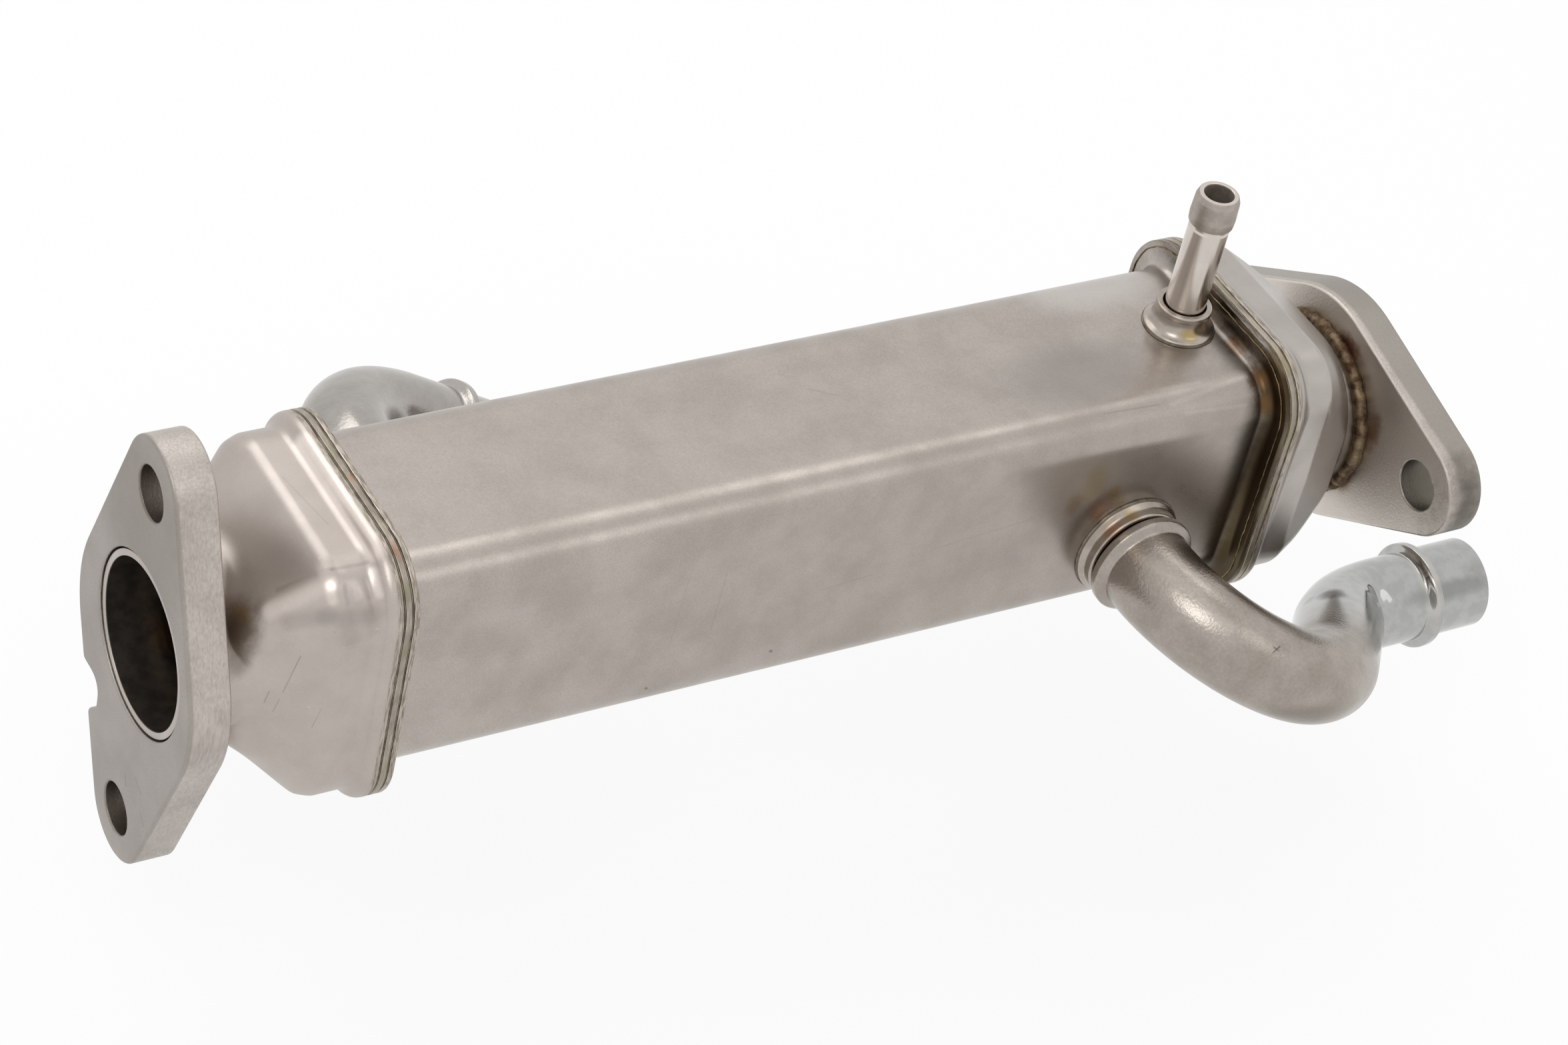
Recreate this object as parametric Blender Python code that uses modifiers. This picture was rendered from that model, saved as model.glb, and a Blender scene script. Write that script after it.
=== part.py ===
"""Exhaust gas recirculation cooler, brazed from stainless sheet and tube.

A rounded square shell holds a bundle of round gas tubes between two tube sheets. A stamped header
leads from each tube sheet to a round neck in a two-bolt flange. A bent coolant pipe leaves the
front of the shell, a second one leaves its rear, and a bleed nipple stands on its top.

Frame, in metres: the origin is the centre of the gas inlet, on the inlet flange's face. +X runs
along the shell to the gas outlet, +Z along the bleed nipple and +Y to the rear coolant pipe.
"""
import math

import bmesh
import bpy
from mathutils import Vector

# Shell: a rounded square tube whose ends are flanged outwards to the rims
SHELL_WIDTH = 0.0442
SHELL_HEIGHT = 0.0480
SHELL_CORNER = 0.0074
SHELL_WALL = 0.0012
SHELL_LENGTH = 0.1862
SHELL_END_BEND = 0.0022
RIM_OVERHANG = 0.0053

# Gap left between pieces that are brazed together
SEAM = 0.0003

# Tube bundle
TUBE_SHEET = 0.0012
TUBE_COLUMNS = 4
TUBE_ROWS = 4
TUBE_WALL = 0.0005
TUBE_STANDOUT = 0.0010
TUBE_GAP = 0.0022
BUNDLE_MARGIN = 0.0016
BAFFLE_THICKNESS = 0.0012
BAFFLE_COUNT = 2

# Stamped headers: rim, joggle, square body, square-to-round stretch, round neck and spigot
HEADER_WALL = 0.0020
HEADER_STEP = 0.0023
RIM_SKIRT = 0.0008
JOGGLE_CREST_INSIDE = 0.0003
JOGGLE_VALLEY = 0.0006
SPIGOT_STEP = 0.0006
SPIGOT_RECESS = 0.0004
INLET_BODY_LENGTH = 0.0069
INLET_CONE_LENGTH = 0.0164
INLET_CONE_END = 0.0142
INLET_CONE_CORNER = 0.0080
INLET_CONE_BEND = 0.0012
INLET_CONE_BLEND = 0.0020
INLET_CONE_SQUARE_UP = 0.67
INLET_CONE_ROUND_FROM = 0.67
INLET_NECK_RADIUS = 0.0176
INLET_NECK_SHOWN = 0.0006
OUTLET_BODY_LENGTH = 0.0061
OUTLET_DOME_LENGTH = 0.0132
OUTLET_SHOULDER_ALONG = 0.80
OUTLET_SHOULDER_ACROSS = 0.58
OUTLET_BODY_BEND = 0.0028
OUTLET_SHOULDER_BEND = 0.0035
OUTLET_NECK_BEND = 0.0010
OUTLET_NECK_RADIUS = 0.0170
OUTLET_NECK_SHOWN = 0.0048
OUTLET_SHIFT_Y = -0.0019
OUTLET_SHIFT_Z = -0.0018
CORNER_HOLD = 0.28
WELD_RADIUS = 0.0014

# Two-bolt flanges
INLET_FLANGE_THICKNESS = 0.0080
OUTLET_FLANGE_THICKNESS = 0.0080
FLANGE_HUB_RADIUS = 0.0241
FLANGE_EAR_RADIUS = 0.0103
FLANGE_EDGE = 0.0004
BOLT_HOLE_RADIUS = 0.0050
HOLE_CHAMFER = 0.0004
INLET_HUB_Y = 0.0016
INLET_HUB_Z = -0.0041
INLET_BOLT_SPREAD = 0.0737
INLET_BOLT_ANGLE = math.radians(89.1)
OUTLET_BOLT_SPREAD = 0.0700
OUTLET_BOLT_ANGLE = math.radians(170.5)
BORE_CHAMFER = 0.0004
NOTCH_FLOOR = 0.0105
NOTCH_LOW = -0.0230
NOTCH_HIGH = -0.0172
NOTCH_ROUND = 0.0030

# Coolant pipes
PIPE_DIAMETER = 0.0184
PIPE_WALL = 0.0015
PIPE_INSIDE = 0.0008
BEAD_HEIGHT = 0.0017
BEAD_WIDTH = 0.0028
BEAD_GAP = 0.0006
PIPE_TAIL = 0.0140
PIPE_BOSS_FOOT = 0.0020
PIPE_BOSS_TAPER = 0.0008
PIPE_BOSS_HEIGHT = 0.0038

FRONT_PIPE_TO_OUTLET = 0.0270
FRONT_PIPE_Z = -0.0089
FRONT_STUB = 0.0095
FRONT_BEND_RADIUS = 0.0245
FRONT_BEND_ANGLE = math.radians(132.8)
FRONT_BEND_TILT = math.radians(-26.0)
FRONT_RETURN = 0.0222
FRONT_LAST_RADIUS = 0.0200
FRONT_LAST_STRAIGHT = 0.0222

REAR_PIPE_TO_INLET = 0.0198
REAR_PIPE_Z = 0.0002
REAR_STUB = 0.0111
REAR_BEND_RADIUS = 0.0200
REAR_BEND_ANGLE = math.radians(95.0)
REAR_BEND_TILT = math.radians(-28.0)
REAR_LAST_STRAIGHT = 0.0250

# Bleed nipple and its boss
NIPPLE_TO_OUTLET = 0.0094
NIPPLE_Y = 0.0006
NIPPLE_DIAMETER = 0.0080
NIPPLE_BORE = 0.0058
NIPPLE_HEIGHT = 0.0318
NIPPLE_INSIDE = 0.0008
BARB_LENGTH = 0.0068
BARB_CREST = 0.0050
BARB_HEIGHT = 0.0005
NIPPLE_BOSS_FOOT = 0.0031
NIPPLE_BOSS_EDGE = 0.0005
NIPPLE_BOSS_WALL = 0.0012
NIPPLE_BOSS_WAIST = 0.0004
NIPPLE_BOSS_LIP = 0.0012
NIPPLE_BOSS_HEIGHT = 0.0055

# Fineness of the round shapes
CORNER_STEPS = 6
BEND_STEPS = 3
CONE_STEPS = 6
TURNED_STEPS = 24
HOLE_STEPS = 24
TUBE_STEPS = 8
EAR_STEPS = 14
HUB_STEPS = 7
PIPE_SIDE_PAIRS = 5
PIPE_BEND_STEP = math.radians(11.0)

# The joggle at a header's rim: two bends, with a straight stretch between them where they fall short
JOGGLE_CREST = HEADER_WALL + JOGGLE_CREST_INSIDE
JOGGLE_LEAN = math.acos(max(0.0, 1 - HEADER_STEP / (JOGGLE_CREST + JOGGLE_VALLEY)))
JOGGLE_LENGTH = (JOGGLE_CREST + JOGGLE_VALLEY) * math.sin(JOGGLE_LEAN)

# Places along X that follow from the sizes above
INLET_CONE_START = INLET_FLANGE_THICKNESS + INLET_NECK_SHOWN
INLET_BODY_START = INLET_CONE_START + INLET_CONE_LENGTH
INLET_RIM = INLET_BODY_START + INLET_BODY_LENGTH + JOGGLE_LENGTH + RIM_SKIRT
INLET_SHEET = INLET_RIM + SEAM
SHELL_START = INLET_SHEET + TUBE_SHEET + SEAM
SHELL_END = SHELL_START + SHELL_LENGTH
OUTLET_SHEET = SHELL_END + SEAM
OUTLET_RIM = OUTLET_SHEET + TUBE_SHEET + SEAM
OUTLET_DOME_START = OUTLET_RIM + RIM_SKIRT + JOGGLE_LENGTH + OUTLET_BODY_LENGTH
OUTLET_NECK_START = OUTLET_DOME_START + OUTLET_DOME_LENGTH
OUTLET_FLANGE_BACK = OUTLET_NECK_START + OUTLET_NECK_SHOWN
OUTLET_FACE = OUTLET_FLANGE_BACK + OUTLET_FLANGE_THICKNESS

PIPE_RADIUS = PIPE_DIAMETER / 2
NIPPLE_RADIUS = NIPPLE_DIAMETER / 2
BUNDLE_WIDTH = SHELL_WIDTH - 2 * SHELL_WALL - 2 * BUNDLE_MARGIN
BUNDLE_HEIGHT = SHELL_HEIGHT - 2 * SHELL_WALL - 2 * BUNDLE_MARGIN
TUBE_RADIUS = min((BUNDLE_WIDTH - (TUBE_COLUMNS - 1) * TUBE_GAP) / TUBE_COLUMNS,
                  (BUNDLE_HEIGHT - (TUBE_ROWS - 1) * TUBE_GAP) / TUBE_ROWS) / 2
BODY_GROWTH = RIM_OVERHANG - HEADER_STEP
BODY_HALF_WIDTH = SHELL_WIDTH / 2 + BODY_GROWTH
BODY_HALF_HEIGHT = SHELL_HEIGHT / 2 + BODY_GROWTH
BODY_CORNER = SHELL_CORNER + BODY_GROWTH
X_AXIS = Vector((1, 0, 0))
Y_AXIS = Vector((0, 1, 0))
Z_AXIS = Vector((0, 0, 1))


def clear_scene():
    """Empty the scene."""
    for thing in list(bpy.data.objects):
        bpy.data.objects.remove(thing)


def new_collection(name):
    """Add a collection to the scene."""
    group = bpy.data.collections.new(name)
    bpy.context.scene.collection.children.link(group)
    return group


def steel(name, colour, roughness):
    """A plain metal material with the piece's own colour and roughness."""
    material = bpy.data.materials.new(name)
    material.use_nodes = True
    shader = material.node_tree.nodes["Principled BSDF"]
    shader.inputs["Base Color"].default_value = (*colour, 1)
    shader.inputs["Metallic"].default_value = 1
    shader.inputs["Roughness"].default_value = roughness
    return material


SATIN = (0.42, 0.39, 0.36)
BRIGHT = (0.50, 0.48, 0.46)
BLASTED = (0.38, 0.36, 0.34)
DARK = (0.20, 0.18, 0.16)


def dress(thing, colour, roughness):
    """Give a piece its own material, smooth its round faces and put it with the parts."""
    thing.data.materials.clear()
    thing.data.materials.append(steel(thing.name + "_steel", colour, roughness))
    thing.data.shade_smooth()
    thing.data.set_sharp_from_angle(angle=math.radians(35))
    PARTS.objects.link(thing)
    return thing


def as_cutter(thing):
    """Put a cutting shape with the cutters and keep it out of the model."""
    CUTTERS.objects.link(thing)
    thing.hide_render = True
    thing.display_type = "WIRE"
    return thing


def mesh_object(name, mesh_builder):
    """Turn a bmesh into an object and free it."""
    mesh = bpy.data.meshes.new(name)
    mesh_builder.to_mesh(mesh)
    mesh_builder.free()
    return bpy.data.objects.new(name, mesh)


def boolean(thing, tool, operation):
    """Cut a tool out of a piece, or join it on, with an exact Boolean."""
    modifier = thing.modifiers.new(operation.lower() + "_" + tool.name, "BOOLEAN")
    modifier.operation = operation
    modifier.solver = "EXACT"
    modifier.object = tool


def baked(thing):
    """The mesh of a curve object as Blender evaluates it, welded, in a new object."""
    bpy.context.scene.collection.objects.link(thing)
    depsgraph = bpy.context.evaluated_depsgraph_get()
    mesh = bpy.data.meshes.new_from_object(thing.evaluated_get(depsgraph))
    builder = bmesh.new()
    builder.from_mesh(mesh)
    bmesh.ops.remove_doubles(builder, verts=builder.verts, dist=1e-6)
    bmesh.ops.recalc_face_normals(builder, faces=builder.faces)
    builder.to_mesh(mesh)
    builder.free()
    solid = bpy.data.objects.new(thing.name, mesh)
    solid.matrix_world = thing.matrix_world.copy()
    name = thing.name
    bpy.data.objects.remove(thing)
    solid.name = name
    return solid


def arc(centre, radius, start, end, steps):
    """Points on a circular arc, both ends included."""
    angles = [start + (end - start) * k / steps for k in range(steps + 1)]
    return [(centre[0] + radius * math.cos(a), centre[1] + radius * math.sin(a)) for a in angles]


def circle(centre, radius, steps):
    """Points round a full circle."""
    return arc(centre, radius, 0, math.tau, steps)[:-1]


def rounded_rectangle(half_width, half_height, corner, centre=(0, 0)):
    """Points round a rounded rectangle, with no point at the ends of its straight sides."""
    points = []
    for quarter in range(4):
        side_y = 1 if quarter in (0, 3) else -1
        side_z = 1 if quarter in (0, 1) else -1
        for step in range(CORNER_STEPS):
            angle = (quarter + (step + 0.5) / CORNER_STEPS) * math.pi / 2
            points.append((centre[0] + side_y * (half_width - corner) + corner * math.cos(angle),
                           centre[1] + side_z * (half_height - corner) + corner * math.sin(angle)))
    return points


def shell_section(growth):
    """The shell's outline in YZ, grown outwards by a distance."""
    return rounded_rectangle(SHELL_WIDTH / 2 + growth, SHELL_HEIGHT / 2 + growth, SHELL_CORNER + growth)


def plate(name, outlines, start, thickness):
    """A flat plate across X: its outlines, holes included, are drawn in YZ."""
    curve = bpy.data.curves.new(name, "CURVE")
    curve.dimensions = "2D"
    curve.fill_mode = "BOTH"
    curve.extrude = thickness / 2
    for outline in outlines:
        spline = curve.splines.new("POLY")
        spline.points.add(len(outline) - 1)
        for point, (y, z) in zip(spline.points, outline):
            point.co = (y, z, 0, 1)
        spline.use_cyclic_u = True
    thing = bpy.data.objects.new(name, curve)
    thing.rotation_euler = (math.pi / 2, 0, math.pi / 2)
    thing.location.x = start + thickness / 2
    bpy.context.view_layer.update()
    return thing


def loft(name, stations, capped=False):
    """A surface through sections: each station is a place along X and its outline in YZ."""
    builder = bmesh.new()
    rings = [[builder.verts.new((x, y, z)) for y, z in outline] for x, outline in stations]
    for ring, following in zip(rings, rings[1:]):
        for k in range(len(ring)):
            nearer = (k + 1) % len(ring)
            builder.faces.new((ring[k], ring[nearer], following[nearer], following[k]))
    if capped:
        builder.faces.new(rings[0])
        builder.faces.new(rings[-1])
    bmesh.ops.recalc_face_normals(builder, faces=builder.faces)
    return mesh_object(name, builder)


def face_outwards(thing):
    """Turn a lofted sheet's faces away from the shell's axis."""
    builder = bmesh.new()
    builder.from_mesh(thing.data)
    outward = sum(face.normal.dot(Vector((0, *face.calc_center_median().yz))) for face in builder.faces)
    if outward < 0:
        bmesh.ops.reverse_faces(builder, faces=builder.faces)
    builder.to_mesh(thing.data)
    builder.free()


def sheet_wall(thing, thickness):
    """Thicken a lofted sheet inwards."""
    face_outwards(thing)
    modifier = thing.modifiers.new("wall", "SOLIDIFY")
    modifier.thickness = thickness
    modifier.offset = -1
    modifier.use_even_offset = True
    modifier.use_rim = True


def turned(name, profile, base, direction, steps=TURNED_STEPS):
    """Turn a closed profile round an axis. It is pairs of radius and height, down its outer side."""
    builder = bmesh.new()
    verts = [builder.verts.new((radius, 0, height)) for radius, height in profile]
    for first, second in zip(verts, verts[1:] + verts[:1]):
        if first.co.x > 0 or second.co.x > 0:
            builder.edges.new((first, second))
    thing = mesh_object(name, builder)
    screw = thing.modifiers.new("turn", "SCREW")
    screw.axis = "Z"
    screw.steps = steps
    screw.render_steps = steps
    screw.use_merge_vertices = True
    screw.merge_threshold = 1e-5
    thing.rotation_mode = "QUATERNION"
    thing.rotation_quaternion = Z_AXIS.rotation_difference(direction)
    thing.location = base
    return thing


def rod_cutter(name, radius, base, direction, length):
    """A plain round cutter."""
    profile = [(0, length), (radius, length), (radius, 0), (0, 0)]
    return as_cutter(turned(name, profile, base, direction, HOLE_STEPS))


# Shell and tube bundle

def shell_profile(gap):
    """Places and growths along the shell's outside, offset outwards by a gap."""
    bend = SHELL_END_BEND - gap
    first = SHELL_START + SHELL_WALL + gap
    last = SHELL_END - SHELL_WALL - gap
    rim = RIM_OVERHANG
    left = [(first + bend - x, bend - y + gap) for x, y in arc((0, 0), bend, 0, math.pi / 2, 4)]
    right = [(last - bend + x, bend - y + gap) for x, y in arc((0, 0), bend, math.pi / 2, 0, 4)]
    return [(first, rim)] + left + right + [(last, rim)]


def make_shell():
    """The flanged shell, with its two pipe holes and the nipple's hole."""
    stations = [(x, shell_section(growth)) for x, growth in shell_profile(0)]
    shell = loft("shell", stations)
    sheet_wall(shell, SHELL_WALL)
    depth = 3 * SHELL_WALL + SHELL_CORNER / 2
    for name, place, outwards, radius in (
            ("front_pipe_hole", FRONT_SEAT, -Y_AXIS, PIPE_RADIUS + SEAM),
            ("rear_pipe_hole", REAR_SEAT, Y_AXIS, PIPE_RADIUS + SEAM),
            ("nipple_hole", NIPPLE_SEAT, Z_AXIS, NIPPLE_RADIUS + SEAM)):
        cutter = rod_cutter(name, radius, place - outwards * depth, outwards, depth + SHELL_WALL)
        boolean(shell, cutter, "DIFFERENCE")
    return dress(shell, SATIN, 0.36)


def tube_places():
    """Centres of the gas tubes: their columns along Y and their rows along Z."""
    places = []
    for room, count in ((BUNDLE_WIDTH, TUBE_COLUMNS), (BUNDLE_HEIGHT, TUBE_ROWS)):
        pitch = (room - 2 * TUBE_RADIUS) / (count - 1)
        places.append([pitch * (k - (count - 1) / 2) for k in range(count)])
    return places


def make_tube_sheet(name, start):
    """A tube sheet, as wide as the rims, with a hole for each gas tube."""
    columns, rows = tube_places()
    holes = [circle((y, z), TUBE_RADIUS + SEAM, TUBE_STEPS) for y in columns for z in rows]
    sheet = baked(plate(name, [shell_section(RIM_OVERHANG)] + holes, start, TUBE_SHEET))
    return dress(sheet, BRIGHT, 0.35)


def make_baffle(name, middle, open_side):
    """A support baffle that holds all but one column of tubes and leaves that side open."""
    columns, rows = tube_places()
    held = columns[:-1] if open_side > 0 else columns[1:]
    edge = open_side * (abs(columns[0]) + abs(columns[1])) / 2
    kept = [(y, z) for y, z in shell_section(-SHELL_WALL - SEAM) if (edge - y) * open_side > 0]
    top = SHELL_HEIGHT / 2 - SHELL_WALL - SEAM
    kept += [(edge, top), (edge, -top)]
    middle_y = sum(y for y, z in kept) / len(kept)
    kept.sort(key=lambda point: math.atan2(point[1], point[0] - middle_y))
    holes = [circle((y, z), TUBE_RADIUS + SEAM, TUBE_STEPS) for y in held for z in rows]
    baffle = baked(plate(name, [kept] + holes, middle - BAFFLE_THICKNESS / 2, BAFFLE_THICKNESS))
    return dress(baffle, BRIGHT, 0.4)


def make_gas_tubes():
    """The gas tubes, which stand out a little beyond both tube sheets."""
    start = INLET_SHEET - TUBE_STANDOUT
    length = OUTLET_SHEET + TUBE_SHEET + TUBE_STANDOUT - start
    bore = TUBE_RADIUS - TUBE_WALL
    profile = [(TUBE_RADIUS, length), (TUBE_RADIUS, 0), (bore, 0), (bore, length)]
    columns, rows = tube_places()
    for column, y in enumerate(columns, 1):
        for row, z in enumerate(rows, 1):
            name = "gas_tube_%d_%d" % (column, row)
            dress(turned(name, profile, (start, y, z), X_AXIS, TUBE_STEPS), DARK, 0.45)


# Headers

def smooth(t):
    """A smooth step from 0 to 1."""
    t = min(max(t, 0), 1)
    return t * t * (3 - 2 * t)


def filleted(corners, radii):
    """A path through points in a plane, with an arc of the given radius at each inner one."""
    path = [corners[0]]
    for before, corner, after, radius in zip(corners, corners[1:], corners[2:], radii):
        middle = Vector(corner)
        arriving = (middle - Vector(before)).normalized()
        leaving = (Vector(after) - middle).normalized()
        turn = arriving.angle(leaving)
        side = (leaving - arriving).normalized()
        centre = middle + side * (radius / math.cos(turn / 2))
        for k in range(BEND_STEPS + 1):
            lean = turn * (k / BEND_STEPS - 0.5)
            across = side * -math.cos(lean) + (arriving + leaving).normalized() * math.sin(lean)
            path.append(tuple(centre + across * radius))
    return path + [corners[-1]]


def joggle():
    """Distances from the rim and growths where the rim draws in to the header's body."""
    crest = JOGGLE_CREST
    valley = JOGGLE_VALLEY
    angles = [JOGGLE_LEAN * k / BEND_STEPS for k in range(BEND_STEPS + 1)]
    over = [(RIM_SKIRT + crest * math.sin(a), RIM_OVERHANG - crest * (1 - math.cos(a))) for a in angles]
    end = RIM_SKIRT + JOGGLE_LENGTH
    angles.reverse()
    under = [(end - valley * math.sin(a), BODY_GROWTH + valley * (1 - math.cos(a))) for a in angles]
    joined = over[-1][1] - under[0][1] < SEAM / 3
    return [(0, RIM_OVERHANG)] + over + (under[1:] if joined else under)


def header_section(half_width, neck_radius, along, shift):
    """The header's outline where its sides have drawn in so far, and so far along its stretch."""
    blend = (BODY_HALF_WIDTH - half_width) / (BODY_HALF_WIDTH - neck_radius)
    corner = smooth((along - CORNER_HOLD) / (1 - CORNER_HOLD))
    return rounded_rectangle(half_width, BODY_HALF_HEIGHT + (neck_radius - BODY_HALF_HEIGHT) * blend,
                             BODY_CORNER + (neck_radius - BODY_CORNER) * corner,
                             (shift[0] * blend, shift[1] * blend))


def reach(half_width, half_height, corner, angle):
    """The distance from a rounded rectangle's centre to its outline at an angle."""
    across = abs(math.cos(angle))
    up = abs(math.sin(angle))
    middle_y = half_width - corner
    middle_z = half_height - corner
    if half_width * up <= middle_z * across:
        return half_width / across
    if half_height * across <= middle_y * up:
        return half_height / up
    off = middle_y * up - middle_z * across
    return middle_y * across + middle_z * up + math.sqrt(corner ** 2 - off ** 2)


def cone_section(distance):
    """The inlet cone's outline at a distance past the body's bend: four flat sides round a neck."""
    drawn = max(distance, 0)
    if abs(distance) < INLET_CONE_BEND:
        drawn = (distance + INLET_CONE_BEND) ** 2 / (4 * INLET_CONE_BEND)
    along = drawn / INLET_CONE_LENGTH
    half_width = BODY_HALF_WIDTH + (INLET_CONE_END - BODY_HALF_WIDTH) * along
    taller = (BODY_HALF_HEIGHT - BODY_HALF_WIDTH) * (1 - smooth(along / INLET_CONE_SQUARE_UP))
    half_height = half_width + taller
    corner = BODY_CORNER + (INLET_CONE_CORNER - BODY_CORNER) * smooth(drawn / (2 * INLET_CONE_BEND))
    rounded = smooth((along - INLET_CONE_ROUND_FROM) / (1 - INLET_CONE_ROUND_FROM))
    points = []
    for k, (y, z) in enumerate(rounded_rectangle(half_width, half_height, corner)):
        even = math.tau * (k + 0.5) / (4 * CORNER_STEPS)
        bunched = math.atan2(z, y) % math.tau
        angle = bunched + (even - bunched) * smooth(along)
        side = reach(half_width, half_height, corner, angle)
        blend = max(INLET_CONE_BLEND - abs(side - INLET_NECK_RADIUS), 0) * (1 - rounded)
        radius = max(side, INLET_NECK_RADIUS) + blend ** 2 / (4 * INLET_CONE_BLEND)
        points.append((radius * math.cos(angle), radius * math.sin(angle)))
    return points


def make_header(name, rim, forward, stretch, spigot_cut):
    """A stamped header: the rim's joggle, then a stretch of outlines at distances from the rim."""
    outlines = [(x, shell_section(growth)) for x, growth in joggle()] + stretch
    header = loft(name, [(rim + forward * distance, outline) for distance, outline in outlines])
    sheet_wall(header, HEADER_WALL)
    boolean(header, spigot_cut, "DIFFERENCE")
    return header


def spigot_cutter(name, face, inwards, neck_radius, centre, thickness):
    """A ring that turns the neck down to the spigot where it passes through a flange."""
    inner = neck_radius - SPIGOT_STEP
    outer = neck_radius + SPIGOT_STEP
    end = thickness + SEAM
    profile = [(outer, end), (outer, -SPIGOT_STEP), (inner, -SPIGOT_STEP), (inner, end)]
    return as_cutter(turned(name, profile, (face, centre[0], centre[1]), X_AXIS * inwards, HOLE_STEPS))


def make_inlet_header():
    """The inlet header: a cone with four flat sides, out of which the round neck comes."""
    body_end = INLET_RIM - INLET_BODY_START
    bend = [INLET_CONE_BEND * k for k in (-1, -1 / 3, 1 / 3, 1)]
    rest = INLET_CONE_LENGTH - INLET_CONE_BEND
    places = bend + [INLET_CONE_BEND + rest * k / CONE_STEPS for k in range(1, CONE_STEPS + 1)]
    stretch = [(body_end + place, cone_section(place)) for place in places]
    stretch.append((INLET_RIM - SPIGOT_RECESS, cone_section(INLET_CONE_LENGTH)))
    cut = spigot_cutter("inlet_spigot", 0, 1, INLET_NECK_RADIUS, (0, 0), INLET_FLANGE_THICKNESS)
    return dress(make_header("inlet_header", INLET_RIM, -1, stretch, cut), SATIN, 0.32)


def dome_stretch(body_end, neck_start, neck_end, shift):
    """The outlet header's outlines: a bend, a shoulder and the round neck, off the shell's axis."""
    shoulder = (body_end + OUTLET_SHOULDER_ALONG * OUTLET_DOME_LENGTH,
                BODY_HALF_WIDTH + OUTLET_SHOULDER_ACROSS * (OUTLET_NECK_RADIUS - BODY_HALF_WIDTH))
    side = [(RIM_SKIRT + JOGGLE_LENGTH, BODY_HALF_WIDTH), (body_end, BODY_HALF_WIDTH), shoulder,
            (neck_start, OUTLET_NECK_RADIUS), (neck_end, OUTLET_NECK_RADIUS)]
    bends = (OUTLET_BODY_BEND, OUTLET_SHOULDER_BEND, OUTLET_NECK_BEND)
    stretch = []
    for distance, half_width in filleted(side, bends)[1:]:
        along = (distance - body_end) / OUTLET_DOME_LENGTH
        stretch.append((distance, header_section(half_width, OUTLET_NECK_RADIUS, along, shift)))
    return stretch


def make_outlet_header():
    """The outlet header: a shallow dome, with a weld bead round its neck behind the flange."""
    centre = (OUTLET_SHIFT_Y, OUTLET_SHIFT_Z)
    stretch = dome_stretch(OUTLET_DOME_START - OUTLET_RIM, OUTLET_NECK_START - OUTLET_RIM,
                           OUTLET_FACE - SPIGOT_RECESS - OUTLET_RIM, centre)
    cut = spigot_cutter("outlet_spigot", OUTLET_FACE, -1, OUTLET_NECK_RADIUS, centre,
                        OUTLET_FLANGE_THICKNESS)
    header = make_header("outlet_header", OUTLET_RIM, 1, stretch, cut)
    low = OUTLET_NECK_RADIUS - HEADER_WALL / 2
    bulge = arc((0, WELD_RADIUS), WELD_RADIUS, math.pi / 2, -math.pi / 2, 4)
    profile = [(low, 2 * WELD_RADIUS)] + [(OUTLET_NECK_RADIUS + r, h) for r, h in bulge] + [(low, 0)]
    base = (OUTLET_FLANGE_BACK - SEAM - 2 * WELD_RADIUS, OUTLET_SHIFT_Y, OUTLET_SHIFT_Z)
    boolean(header, as_cutter(turned("outlet_weld_bead", profile, base, X_AXIS)), "UNION")
    return dress(header, SATIN, 0.32)


# Flanges

def ear_places(centre, spread, angle):
    """Centres of a flange's two bolt holes in YZ."""
    reach = spread / 2
    return [(centre[0] + side * reach * math.cos(angle), centre[1] + side * reach * math.sin(angle))
            for side in (1, -1)]


def flange_outline(centre, spread, angle):
    """Two ears joined to a round hub by straight tangents."""
    lean = math.acos((FLANGE_HUB_RADIUS - FLANGE_EAR_RADIUS) / (spread / 2))
    first, second = ear_places(centre, spread, angle)
    turn = angle + math.pi
    points = arc(first, FLANGE_EAR_RADIUS, angle - lean, angle + lean, EAR_STEPS)
    points += arc(centre, FLANGE_HUB_RADIUS, angle + lean, turn - lean, HUB_STEPS)
    points += arc(second, FLANGE_EAR_RADIUS, turn - lean, turn + lean, EAR_STEPS)
    points += arc(centre, FLANGE_HUB_RADIUS, turn + lean, angle + math.tau - lean, HUB_STEPS)
    return [p for p, q in zip(points, points[1:] + points[:1]) if math.dist(p, q) > 1e-5]


def bolt_cutter(name, place, start, thickness):
    """A bolt hole with a small chamfer at both faces."""
    over = FLANGE_EDGE
    wide = BOLT_HOLE_RADIUS + HOLE_CHAMFER
    far = thickness
    hole = BOLT_HOLE_RADIUS
    profile = [(0, far + over), (wide + over, far + over), (wide, far), (hole, far - HOLE_CHAMFER),
               (hole, HOLE_CHAMFER), (wide, 0), (wide + over, -over), (0, -over)]
    return as_cutter(turned(name, profile, (start, place[0], place[1]), X_AXIS, HOLE_STEPS))


def bore_cutter(name, face, inwards, neck_radius, centre, thickness):
    """The spigot's bore through a flange, with a chamfer at its face."""
    over = thickness / 2
    bore = neck_radius - SPIGOT_STEP + SEAM
    mouth = bore + BORE_CHAMFER
    profile = [(0, thickness + over), (bore, thickness + over), (bore, BORE_CHAMFER), (mouth, 0),
               (mouth, -over), (0, -over)]
    return as_cutter(turned(name, profile, (face, centre[0], centre[1]), X_AXIS * inwards, HOLE_STEPS))


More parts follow.
